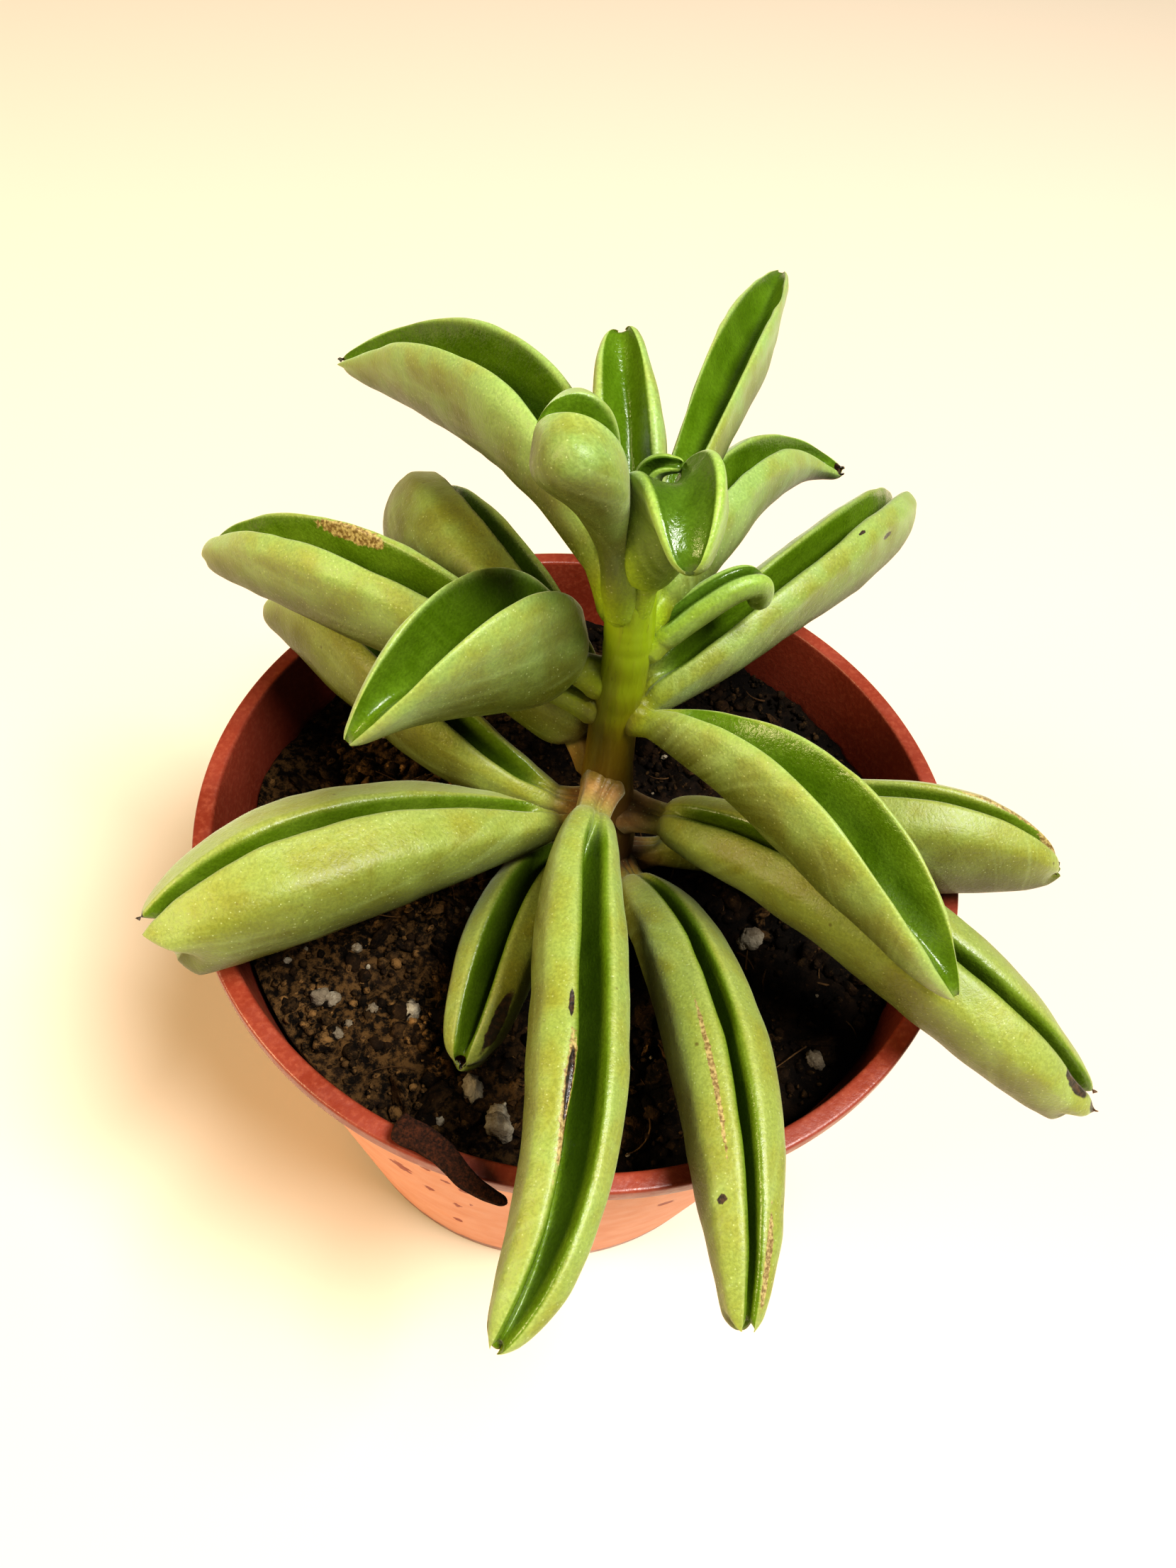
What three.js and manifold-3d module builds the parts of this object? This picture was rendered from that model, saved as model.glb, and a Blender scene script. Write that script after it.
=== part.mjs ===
// A peperomia with thick leaves folded like tacos, grown in soil in a plastic nursery pot.
// Millimetres, +Z up, origin at the centre of the pot's underside, the viewer on the -Y side.
import * as THREE from "three";
import { mergeVertices } from "three/addons/utils/BufferGeometryUtils.js";
import Module from "manifold-3d";

const wasm = await Module();
wasm.setup();

// Clearance between pieces that touch.
const GAP = 0.3;

// Pot: a tapered cup with a narrow flat lip and drain holes in its floor.
const POT_HEIGHT = 91;
const RIM_RADIUS = 60;
const BASE_RADIUS = 43.8;
const WALL = 1.1;
const FLOOR = 1.6;
const LIP_WIDTH = 2.8;
const LIP_DEPTH = 3;
const LIP_ROUNDING = 0.6;
const FOOT_CHAMFER = 1;
const POT_SIDES = 60;
const DRAIN_COUNT = 6;
const DRAIN_RADIUS = 4;
const DRAIN_CIRCLE = 29;
const DRAIN_SIDES = 14;

// Soil: its mean surface is this far under the rim, with lumps and a slight rise round the stem.
const SOIL_DROP = 12.5;
const SOIL_LUMP = 1.5;
const SOIL_LUMP_SIZE = 9;
const SOIL_CLOD_SIZE = 4;
const SOIL_MOUND = 1.6;
const SOIL_MOUND_REACH = 16;
const SOIL_EDGE_GAP = 0.7;
const SOIL_RINGS = 10;
const SOIL_SIDES = 40;
const SOIL_SEED = 7;

// Stem: a succulent stem that bends a little from leaf to leaf, with a swollen ring at each leaf node.
const STEM_FOOT = new THREE.Vector2(4.6, -4);
// Heights and how far to the right its axis is there; it stays above its foot from front to back.
const STEM_LINE = [[50, 5], [78.5, 4.6], [93, 4.2], [110, 2.4], [121, 2.2], [132, 2.6], [146, 1.8]];
const STEM_BURIED = 28;
const STEM_TOP = 145;
const STEM_RADIUS = 4.2;
const STEM_TOP_RADIUS = 3;
const STEM_CROWN = 2.5; // length of the rounded growing point
const STEM_CROWN_FLAT = 0.2; // share of the radius left where it is closed
const NODE_SWELL = 0.35;
const NODE_SPREAD = 2.2;
const STEM_STEPS = 36;
const STEM_SIDES = 16;

// Bark: a splinter of bark that lies over the front of the rim.
const BARK_FOOT = new THREE.Vector3(-18.5, -54.8, 93.1);
const BARK_TIP = new THREE.Vector3(-2.6, -62.6, 92.4);
const BARK_RADIUS = 1.7;
const BARK_TAPER = 0.7;
const BARK_FLAT = 0.55; // its thickness as a share of its width
const BARK_STEPS = 10;
const BARK_SIDES = 8;

const SOIL_TOP = POT_HEIGHT - SOIL_DROP;

// Leaves, from the top of the stem down. node: height of the leaf's attachment. out: heading and rise,
// in degrees, as the leaf leaves the stem; heading 0 is +X, 90 is +Y. tip: where it ends.
// end: heading and rise there. roll: how far the fold leans to its left at base and tip.
// half: half width of the folded blade. deep: from keel to margin. gap: half the opening between the
// margins. peak: skews the widest place, over 1 towards the tip. blunt: 0.4 is a round end, 1 a pointed one.
// cut: share of that outline used, so that less than 1 leaves the tip wide. The other values, where given,
// take the place of the common ones below.
const LEAVES = {
  leaf_young_inner: {
    node: 143.5, out: [40, 84], tip: [5.5, 1, 158.5], end: [-10, 0], roll: [0, 0],
    half: 1.8, deep: 3.6, gap: 0.6, peak: 0.8, blunt: 0.6, petiole: 0.1, stalk: 1.2, margin: 1.2,
    pull: 0.45,
  },
  leaf_young_cup: {
    node: 141, out: [-50, 86], tip: [7.6, -16.5, 158.6], end: [-88, -20], roll: [8, -5],
    half: 4.7, deep: 9.2, gap: 3.4, peak: 0.8, blunt: 0.45, petiole: 0.14, stalk: 1.9, margin: 1.8,
    pull: 0.7, start: 1.6, channel: 0.28,
  },
  leaf_top_front: {
    node: 141.5, out: [-125, 72], tip: [-10.9, -5.5, 165.5], end: [176, 14], roll: [0, 50],
    half: 8.4, deep: 10, gap: 2.6, peak: 2.8, blunt: 0.65, petiole: 0.25, stalk: 1.8, margin: 1.4,
    pull: 0.3, start: 2.3,
  },
  leaf_top_back: {
    node: 142.5, out: [98, 62], tip: [-3.5, 22.5, 160.5], end: [103, 21], roll: [7, 16],
    half: 4.1, deep: 8.2, gap: 2.4, peak: 0.81, blunt: 0.42, petiole: 0.1, stalk: 1.9, margin: 1.6, cut: 1,
    channel: 0.4,
  },
  leaf_upper_left: {
    node: 138.5, out: [134, 49], tip: [-45.5, 45.5, 134], end: [165, -14], roll: [-24, 32],
    half: 6.2, deep: 14.8, gap: 3.9, peak: 1.05, blunt: 0.88, margin: 1.5,
  },
  leaf_upper_back: {
    node: 140, out: [67, 50], tip: [18.5, 67.5, 146], end: [79, 0], roll: [18, -4],
    half: 3.6, deep: 8.8, gap: 2.6, peak: 1.2, blunt: 0.87, stalk: 2, margin: 1.1, channel: 0.55,
  },
  leaf_upper_right: {
    node: 136.5, out: [42, 48], tip: [30.5, 36, 134.5], end: [2, -10], roll: [28, -50],
    half: 4.4, deep: 10, gap: 1.8, peak: 0.73, blunt: 0.86, stalk: 2, margin: 1.2, channel: 0.6,
  },
  leaf_young_hook: {
    node: 133.5, out: [14, 50], tip: [18, 3, 137], end: [20, -90], roll: [0, 0],
    half: 2.2, deep: 4, gap: 0.6, peak: 0.8, blunt: 0.5, stalk: 1.6, margin: 1.4, pull: 0.62, cut: 0.97,
  },
  leaf_left_front: {
    node: 126.5, out: [180, 32], tip: [-28.5, -25, 133], end: [-133, -27], roll: [-57, 2],
    half: 6, deep: 17.8, gap: 3.7, peak: 0.7, blunt: 0.93, petiole: 0.1, margin: 1.5,
  },
  leaf_right_back: {
    node: 120.5, out: [32, 29], tip: [44.5, 50, 116.5], end: [75, -35], roll: [-10, 17],
    half: 4.8, deep: 12.6, gap: 1.7, peak: 0.94, blunt: 0.55, petiole: 0.03, stalk: 2.6, margin: 1.8,
    cut: 0.97,
  },
  leaf_left_mid: {
    node: 121, out: [175, 16], tip: [-62, 19.5, 115], end: [156, -31], roll: [-10, -4],
    half: 6.4, deep: 14.3, gap: 3.2, peak: 1.02, blunt: 0.75, margin: 1.7,
  },
  leaf_right_mid: {
    node: 121, out: [-22, 10], tip: [49, -36, 113], end: [-41, -25], roll: [37, -8],
    half: 5.8, deep: 12.8, gap: 4, peak: 1.01, blunt: 0.88, petiole: 0.04, stalk: 1.8, margin: 1.5,
  },
  leaf_back_left: {
    node: 107, out: [147, 49], tip: [-33.8, 40, 114.7], end: [93, -19], roll: [-22, -36],
    half: 8.2, deep: 19, gap: 2.4, peak: 0.93, blunt: 0.47, margin: 1.7,
  },
  leaf_front_long: {
    node: 107, out: [-103, 6], tip: [-1.5, -81.5, 104], end: [-116, -10], roll: [21, 11],
    half: 6, deep: 12.4, gap: 1.7, peak: 0.99, blunt: 0.52, stalk: 2.5, margin: 2.6,
  },
  leaf_left_back_low: {
    node: 98, out: [188, 8], tip: [-57.5, 27, 96.5], end: [149, -32], roll: [5, -25],
    half: 5.4, deep: 13, gap: 2.5, peak: 1.05, blunt: 0.68, margin: 1.9,
  },
  leaf_left_low: {
    node: 97, out: [203, 0], tip: [-52, -37.5, 99], end: [-141, -19], roll: [-10, -13],
    half: 9.5, deep: 18.2, gap: 1.2, peak: 1.38, blunt: 0.55, margin: 2.6, cut: 0.93,
  },
  leaf_right_low: {
    node: 99, out: [-18, 20], tip: [71.5, -38.6, 92.5], end: [-15, -36], roll: [-15, 15],
    half: 6.8, deep: 14.9, gap: 1, peak: 1, blunt: 0.49, stalk: 2.4, margin: 2.8, cut: 0.96,
  },
  leaf_small_front: {
    node: 86, out: [-143, 24], tip: [-12, -43, 86], end: [-105, -10], roll: [-30, -14],
    half: 6, deep: 10.5, gap: 1.8, peak: 0.92, blunt: 0.46, margin: 2.2,
  },
  leaf_front_right: {
    node: 86, out: [-57, 25], tip: [27, -73.5, 94], end: [-85, -14], roll: [14, 16],
    half: 6.7, deep: 13.6, gap: 1, peak: 0.88, blunt: 0.7, margin: 2.8, cut: 0.97,
  },
  leaf_right_back_low: {
    node: 85, out: [5, 22], tip: [71.5, -4.8, 99], end: [0, -11], roll: [18, 12],
    half: 6.2, deep: 19, gap: 1.2, peak: 1.25, blunt: 0.65, margin: 1.8,
  },
};

// Shape common to all leaves, where a leaf doesn't say otherwise.
const LEAF_PETIOLE = 0.08; // share of the length that is stalk
const LEAF_STALK = 2.2; // radius of the stalk
const LEAF_TIP_RADIUS = 0.8;
const LEAF_MARGIN = 2.4; // thickness of the blade at its margins
const LEAF_PULL = 0.36; // how far the ends' directions reach, as a share of the straight length
const LEAF_CHANNEL = 0.72; // depth of the channel inside the fold, as a share of the whole depth
const LEAF_BELLY = 0.58; // height of the widest place of the fold
const LEAF_BELOW = 0.4; // share of the depth that lies under the leaf's line
const LEAF_START = 3.3; // from the stem's axis to where the line starts
const LEAF_OPENS = 0.1; // share of the length over which the channel opens past the stalk
const STALK_GAP = 0.15; // half opening of the channel where there is only stalk, per radius of it
const STALK_CHANNEL = 0.15; // depth of the channel there, as a share of the whole depth
const LEAF_RIM = 0.94; // height of the margin's inner edge, as a share of the depth
const LEAF_HEIGHTS = [0, 0.1, 0.3, LEAF_BELLY, 0.86]; // of the outside's points, as shares of the depth
const LEAF_STEPS = 14;
const ROOT_ROOM = 12; // how much farther the room round a leaf reaches back past its root, per mm of room

// Colours.
const TERRACOTTA = 0xb8472f;
const SOIL_BROWN = 0x2b1d14;
const LEAF_GREEN = 0x86ab45;
const YOUNG_GREEN = 0xa3c060;
const STEM_OLIVE = 0x7d7a2c;
const BARK_BROWN = 0x3b2418;

function material(color, roughness) {
  return new THREE.MeshStandardMaterial({ color, roughness, metalness: 0 });
}

const plastic = material(TERRACOTTA, 0.5);
const earth = material(SOIL_BROWN, 0.95);
const leafSkin = material(LEAF_GREEN, 0.45);
const youngSkin = material(YOUNG_GREEN, 0.45);
const stemSkin = material(STEM_OLIVE, 0.5);
const bark = material(BARK_BROWN, 0.9);

// A closed geometry as a solid that can be cut.
function solid(geometry) {
  const bare = new THREE.BufferGeometry().setAttribute("position", geometry.getAttribute("position"));
  bare.setIndex(geometry.index);
  const merged = mergeVertices(bare, 1e-3);
  return new wasm.Manifold(
    new wasm.Mesh({
      numProp: 3,
      vertProperties: merged.attributes.position.array,
      triVerts: new Uint32Array(merged.index.array),
    }),
  );
}

// The biggest of the bodies that a cut leaves.
function largest(made) {
  const bodies = made.decompose();
  return bodies.reduce((best, body) => (body.volume() > best.volume() ? body : best), bodies[0]);
}

function geometryOf(made) {
  const mesh = made.getMesh();
  return new THREE.BufferGeometry()
    .setAttribute("position", new THREE.BufferAttribute(mesh.vertProperties, 3))
    .setIndex(new THREE.BufferAttribute(mesh.triVerts, 1));
}

function named(name, geometry, look) {
  geometry.computeVertexNormals();
  const mesh = new THREE.Mesh(geometry, look);
  mesh.name = name;
  return mesh;
}

// Closed skin over a row of rings, each with the same number of points, with both ends capped.
// outline gives the flat shape of the first and last ring, for the triangles of the caps.
function skinOver(rings, firstOutline, lastOutline) {
  const count = rings[0].length;
  const points = rings.flat().flatMap((p) => [p.x, p.y, p.z]);
  const faces = [];
  for (let i = 0; i + 1 < rings.length; i++) {
    for (let j = 0; j < count; j++) {
      const a = i * count + j;
      const b = i * count + ((j + 1) % count);
      faces.push(a, b, b + count, a, b + count, a + count);
    }
  }
  const last = (rings.length - 1) * count;
  for (const [a, b, c] of THREE.ShapeUtils.triangulateShape(firstOutline, [])) {
    faces.push(a, c, b);
  }
  for (const [a, b, c] of THREE.ShapeUtils.triangulateShape(lastOutline, [])) {
    faces.push(last + a, last + b, last + c);
  }
  return new THREE.BufferGeometry()
    .setAttribute("position", new THREE.Float32BufferAttribute(points, 3))
    .setIndex(faces);
}

// Pot.

function potRadius(z) {
  const top = RIM_RADIUS - LIP_WIDTH + WALL;
  return THREE.MathUtils.lerp(BASE_RADIUS, top, z / POT_HEIGHT);
}

function potProfile() {
  const underLip = POT_HEIGHT - LIP_DEPTH;
  return [
    [0, 0],
    [BASE_RADIUS - FOOT_CHAMFER, 0],
    [potRadius(FOOT_CHAMFER), FOOT_CHAMFER],
    [potRadius(underLip), underLip],
    [RIM_RADIUS - LIP_ROUNDING, underLip],
    [RIM_RADIUS, underLip + LIP_ROUNDING],
    [RIM_RADIUS, POT_HEIGHT - LIP_ROUNDING],
    [RIM_RADIUS - LIP_ROUNDING, POT_HEIGHT],
    [potRadius(POT_HEIGHT) - WALL + LIP_ROUNDING, POT_HEIGHT],
    [potRadius(POT_HEIGHT) - WALL, POT_HEIGHT - LIP_ROUNDING],
    [potRadius(FLOOR) - WALL, FLOOR],
    [0, FLOOR],
  ].map(([x, y]) => new THREE.Vector2(x, y));
}

function makePot() {
  const body = new THREE.LatheGeometry(potProfile(), POT_SIDES).rotateX(Math.PI / 2);
  let cup = solid(body);
  for (let i = 0; i < DRAIN_COUNT; i++) {
    const angle = ((i + 0.5) / DRAIN_COUNT) * 2 * Math.PI;
    const hole = new THREE.CylinderGeometry(DRAIN_RADIUS, DRAIN_RADIUS, 4 * FLOOR, DRAIN_SIDES)
      .rotateX(Math.PI / 2)
      .translate(DRAIN_CIRCLE * Math.cos(angle), DRAIN_CIRCLE * Math.sin(angle), FLOOR / 2);
    cup = cup.subtract(solid(hole));
  }
  return named("pot", geometryOf(cup), plastic);
}

// Soil.

// A repeatable pseudo-random number from 0 to 1 for a whole-number place on a grid.
function chance(i, j, seed) {
  const wave = Math.sin(i * 127.1 + j * 311.7 + seed * 74.7) * 43758.5453;
  return wave - Math.floor(wave);
}

// Smooth noise from 0 to 1 over the plane.
function noise(x, y, seed) {
  const i = Math.floor(x);
  const j = Math.floor(y);
  const u = THREE.MathUtils.smoothstep(x - i, 0, 1);
  const v = THREE.MathUtils.smoothstep(y - j, 0, 1);
  const low = THREE.MathUtils.lerp(chance(i, j, seed), chance(i + 1, j, seed), u);
  const high = THREE.MathUtils.lerp(chance(i, j + 1, seed), chance(i + 1, j + 1, seed), u);
  return THREE.MathUtils.lerp(low, high, v);
}

function soilHeight(x, y) {
  const lumps = noise(x / SOIL_LUMP_SIZE, y / SOIL_LUMP_SIZE, SOIL_SEED) - 0.5;
  const clods = noise(x / SOIL_CLOD_SIZE, y / SOIL_CLOD_SIZE, SOIL_SEED + 1) - 0.5;
  const away = Math.hypot(x - STEM_FOOT.x, y - STEM_FOOT.y) / SOIL_MOUND_REACH;
  return SOIL_TOP + SOIL_LUMP * (lumps + clods / 2) + SOIL_MOUND * Math.exp(-(away ** 2));
}

function makeSoil() {
  const bottom = FLOOR + GAP;
  const bottomRadius = potRadius(bottom) - WALL - GAP;
  const points = [new THREE.Vector3(0, 0, soilHeight(0, 0))];
  for (let ring = 1; ring <= SOIL_RINGS; ring++) {
    for (let i = 0; i < SOIL_SIDES; i++) {
      const angle = (i / SOIL_SIDES) * 2 * Math.PI;
      const reach = (potRadius(SOIL_TOP) - WALL - SOIL_EDGE_GAP) * (ring / SOIL_RINGS);
      const x = reach * Math.cos(angle);
      const y = reach * Math.sin(angle);
      points.push(new THREE.Vector3(x, y, soilHeight(x, y)));
    }
  }
  for (let i = 0; i < SOIL_SIDES; i++) {
    const angle = (i / SOIL_SIDES) * 2 * Math.PI;
    points.push(new THREE.Vector3(bottomRadius * Math.cos(angle), bottomRadius * Math.sin(angle), bottom));
  }
  points.push(new THREE.Vector3(0, 0, bottom));
  const faces = [];
  for (let i = 0; i < SOIL_SIDES; i++) {
    const next = (i + 1) % SOIL_SIDES;
    faces.push(0, 1 + i, 1 + next);
    for (let ring = 0; ring < SOIL_RINGS; ring++) {
      const a = 1 + ring * SOIL_SIDES;
      faces.push(a + i, a + SOIL_SIDES + i, a + SOIL_SIDES + next);
      faces.push(a + i, a + SOIL_SIDES + next, a + next);
    }
    const edge = 1 + SOIL_RINGS * SOIL_SIDES;
    faces.push(points.length - 1, edge + next, edge + i);
  }
  const body = new THREE.BufferGeometry()
    .setAttribute("position", new THREE.Float32BufferAttribute(points.flatMap((p) => [p.x, p.y, p.z]), 3))
    .setIndex(faces);
  return named("soil", geometryOf(solid(body).subtract(solid(stemBody(GAP)))), earth);
}

// Stem.

function stemAxis(z) {
  const above = STEM_LINE.findIndex(([height]) => height > z);
  const [low, start] = STEM_LINE[above - 1];
  const [high, end] = STEM_LINE[above];
  const x = THREE.MathUtils.lerp(start, end, THREE.MathUtils.smoothstep(z, low, high));
  return new THREE.Vector3(x, STEM_FOOT.y, z);
}

const NODE_HEIGHTS = Object.values(LEAVES).map((leaf) => leaf.node);

function stemRadius(z) {
  const t = THREE.MathUtils.smoothstep(z, SOIL_TOP, STEM_TOP);
  const swell = NODE_HEIGHTS.map((node) => Math.exp(-(((z - node) / NODE_SPREAD) ** 2)));
  return THREE.MathUtils.lerp(STEM_RADIUS, STEM_TOP_RADIUS, t) + NODE_SWELL * Math.max(...swell);
}

// The stem from its buried foot to its rounded growing point, with room added all round it.
function stemBody(grow) {
  const foot = SOIL_TOP - STEM_BURIED - grow;
  const top = STEM_TOP + grow;
  const rings = [];
  for (let i = 0; i <= STEM_STEPS; i++) {
    const z = THREE.MathUtils.lerp(foot, top, i / STEM_STEPS);
    const up = Math.max(0, (z - top + STEM_CROWN) / STEM_CROWN);
    const rounding = Math.max(STEM_CROWN_FLAT, Math.sqrt(1 - up ** 2));
    const radius = (stemRadius(z) + grow) * rounding;
    const centre = stemAxis(z);
    const ring = [];
    for (let j = 0; j < STEM_SIDES; j++) {
      const angle = (j / STEM_SIDES) * 2 * Math.PI;
      const out = new THREE.Vector3(Math.cos(angle), Math.sin(angle), 0);
      ring.push(centre.clone().addScaledVector(out, radius));
    }
    rings.push(ring);
  }
  const flat = (ring) => ring.map((p) => new THREE.Vector2(p.x, p.y));
  return skinOver(rings, flat(rings[0]), flat(rings[STEM_STEPS]));
}

// Leaves.

function heading([turn, rise]) {
  const a = THREE.MathUtils.degToRad(turn);
  const e = THREE.MathUtils.degToRad(rise);
  return new THREE.Vector3(Math.cos(e) * Math.cos(a), Math.cos(e) * Math.sin(a), Math.sin(e));
}

// The line that a leaf follows, from inside the stem to its tip.
function leafLine(leaf) {
  const start = stemAxis(leaf.node);
  start.addScaledVector(heading([leaf.out[0], 0]), leaf.start ?? LEAF_START);
  const end = new THREE.Vector3(...leaf.tip);
  const reach = (leaf.pull ?? LEAF_PULL) * start.distanceTo(end);
  const first = start.clone().addScaledVector(heading(leaf.out), reach);
  const second = end.clone().addScaledVector(heading(leaf.end), -reach);
  return new THREE.CubicBezierCurve3(start, first, second, end);
}

// How full the blade is at a share of its length: 0 at both ends, 1 at its widest.
function fullness(share, leaf) {
  const stalk = leaf.petiole ?? LEAF_PETIOLE;
  const along = THREE.MathUtils.clamp(((share - stalk) / (1 - stalk)) * (leaf.cut ?? 1), 0, 1);
  return Math.max(0, 1 - (2 * along ** leaf.peak - 1) ** 2) ** leaf.blunt;
}

// Half of the fold's cross-section, from the keel round the outside and the margin to the channel's bed.
function foldOutline(share, leaf, grow) {
  const full = fullness(share, leaf);
  const stalk = THREE.MathUtils.lerp(leaf.stalk ?? LEAF_STALK, LEAF_TIP_RADIUS, share);
  const half = THREE.MathUtils.lerp(stalk, leaf.half, full) + grow;
  const deep = THREE.MathUtils.lerp(2 * stalk, leaf.deep, full) + 2 * grow;
  const margin = THREE.MathUtils.lerp(0.7 * stalk, leaf.margin ?? LEAF_MARGIN, full) + 1.2 * grow;
  const stalkEnd = leaf.petiole ?? LEAF_PETIOLE;
  const opened = full * THREE.MathUtils.smoothstep(share, stalkEnd, stalkEnd + LEAF_OPENS);
  const gap = THREE.MathUtils.lerp(STALK_GAP * stalk, leaf.gap, opened) - 0.2 * grow;
  const bed = 1 - THREE.MathUtils.lerp(STALK_CHANNEL, leaf.channel ?? LEAF_CHANNEL, opened);
  const edge = gap + margin;
  const outside = (y) => {
    if (y < LEAF_BELLY) {
      return half * Math.sqrt(1 - (1 - y / LEAF_BELLY) ** 2);
    }
    return edge + (half - edge) * Math.sqrt(Math.max(0, 1 - ((y - LEAF_BELLY) / (1 - LEAF_BELLY)) ** 2));
  };
  const points = LEAF_HEIGHTS.map((y) => [outside(y), y]);
  points.push([gap + 0.72 * margin, 0.985], [gap + 0.3 * margin, 1], [gap, LEAF_RIM]);
  points.push([0.58 * gap, THREE.MathUtils.lerp(bed, LEAF_RIM, 0.4)], [0, bed]);
  const place = ([x, y]) => new THREE.Vector2(x, (y - LEAF_BELOW) * deep);
  return points.map(place);
}

// The whole closed outline, once round: up one lobe and down the other.
function foldRing(share, leaf, grow) {
  const lobe = foldOutline(share, leaf, grow);
  const other = lobe.slice(1, -1).reverse();
  return lobe.concat(other.map((p) => new THREE.Vector2(-p.x, p.y)));
}

// The leaf's skin, from inside the stem to its tip, with room added all round it.
function leafBody(leaf, grow) {
  const line = leafLine(leaf);
  const side = heading([leaf.out[0] + 90, 0]);
  const rings = [];
  for (let i = 0; i <= LEAF_STEPS; i++) {
    const share = i / LEAF_STEPS;
    const centre = line.getPoint(share);
    const along = line.getTangent(share);
    if (i === 0) {
      centre.addScaledVector(along, -ROOT_ROOM * grow);
    }
    side.addScaledVector(along, -side.dot(along)).normalize();
    const roll = THREE.MathUtils.degToRad(THREE.MathUtils.lerp(leaf.roll[0], leaf.roll[1], share));
    const left = side.clone().applyAxisAngle(along, -roll);
    const up = new THREE.Vector3().crossVectors(along, left);
    const place = (p) => centre.clone().addScaledVector(left, p.x).addScaledVector(up, p.y);
    rings.push(foldRing(share, leaf, grow).map(place));
  }
  return skinOver(rings, foldRing(0, leaf, grow), foldRing(1, leaf, grow));
}

// Bark.

function makeBark() {
  const line = new THREE.CatmullRomCurve3([
    BARK_FOOT,
    BARK_FOOT.clone().lerp(BARK_TIP, 0.35).add(new THREE.Vector3(0.4, 0.5, 0.2)),
    BARK_FOOT.clone().lerp(BARK_TIP, 0.7).add(new THREE.Vector3(-0.3, -0.4, 0.1)),
    BARK_TIP,
  ]);
  const rings = [];
  const flat = [];
  const side = new THREE.Vector3(0, 0, 1).cross(line.getTangent(0)).normalize();
  for (let i = 0; i <= BARK_STEPS; i++) {
    const share = i / BARK_STEPS;
    const centre = line.getPoint(share);
    const along = line.getTangent(share);
    side.addScaledVector(along, -side.dot(along)).normalize();
    const up = new THREE.Vector3().crossVectors(along, side);
    const thick = BARK_RADIUS * (1 - BARK_TAPER * share ** 1.5) * (0.9 + 0.2 * chance(i, 3, 5));
    const ring = [];
    for (let j = 0; j < BARK_SIDES; j++) {
      const angle = (j / BARK_SIDES) * 2 * Math.PI;
      const reach = thick * (0.85 + 0.25 * chance(i, j, 9));
      const wide = 1.25 * reach * Math.cos(angle);
      const high = 1.25 * BARK_FLAT * reach * Math.sin(angle);
      ring.push(centre.clone().addScaledVector(side, wide).addScaledVector(up, high));
      flat[j] = new THREE.Vector2(Math.cos(angle), Math.sin(angle));
    }
    rings.push(ring);
  }
  return named("bark", skinOver(rings, flat, flat), bark);
}

const plant = new THREE.Group();
plant.add(makePot(), makeSoil());
plant.add(named("stem", stemBody(0), stemSkin));
const stemRoom = solid(stemBody(GAP));
// Stalks that crowd each other on the stem are pressed flat: the lower one gives way.
const above = [stemRoom];
for (const [name, leaf] of Object.entries(LEAVES)) {
  let blade = solid(leafBody(leaf, 0));
  for (const room of above) {
    if (!blade.intersect(room).isEmpty()) {
      blade = blade.subtract(room);
    }
  }
  above.push(solid(leafBody(leaf, GAP)));
  const look = name.startsWith("leaf_young") ? youngSkin : leafSkin;
  plant.add(named(name, geometryOf(largest(blade)), look));
}
plant.add(makeBark());

export default plant;
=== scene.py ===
"""A potted taco leaf peperomia: fine leaves, stem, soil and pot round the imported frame."""
import math

import bpy
import numpy as np
from mathutils import Matrix, Vector


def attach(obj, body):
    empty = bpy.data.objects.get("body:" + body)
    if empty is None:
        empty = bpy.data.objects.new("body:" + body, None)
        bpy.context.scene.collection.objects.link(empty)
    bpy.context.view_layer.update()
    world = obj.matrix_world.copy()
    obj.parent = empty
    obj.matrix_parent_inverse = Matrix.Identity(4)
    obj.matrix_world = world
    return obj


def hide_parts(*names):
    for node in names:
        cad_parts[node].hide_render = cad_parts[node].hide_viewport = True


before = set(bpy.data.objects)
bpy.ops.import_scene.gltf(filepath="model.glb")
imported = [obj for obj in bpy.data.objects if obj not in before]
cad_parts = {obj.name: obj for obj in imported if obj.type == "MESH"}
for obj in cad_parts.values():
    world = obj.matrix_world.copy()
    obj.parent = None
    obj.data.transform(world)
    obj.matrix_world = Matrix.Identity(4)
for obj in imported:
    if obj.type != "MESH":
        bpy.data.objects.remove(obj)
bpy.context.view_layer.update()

MM = 0.001

# Camera: at the photograph's viewing angle.
CAMERA_PLACE = (0.0, -0.1086, 0.2428)
CAMERA_PITCH = 53.04  # degrees below the horizon
CAMERA_ROLL = 8.12
CAMERA_LENS = 27.0  # and the sensor's width, in millimetres
CAMERA_SENSOR = 36.0

# Pot, in millimetres.
POT_HEIGHT = 91
RIM_RADIUS = 60
BASE_RADIUS = 43.8
WALL = 1.1
FLOOR = 1.6
LIP_WIDTH = 2.8
LIP_DEPTH = 3
LIP_ROUNDING = 0.6
FOOT_ROUNDING = 1
POT_SIDES = 360
DRAIN_COUNT = 6
DRAIN_RADIUS = 4
DRAIN_SIDES = 48
DRAIN_CIRCLE = 29  # radius of the ring of drain holes
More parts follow.
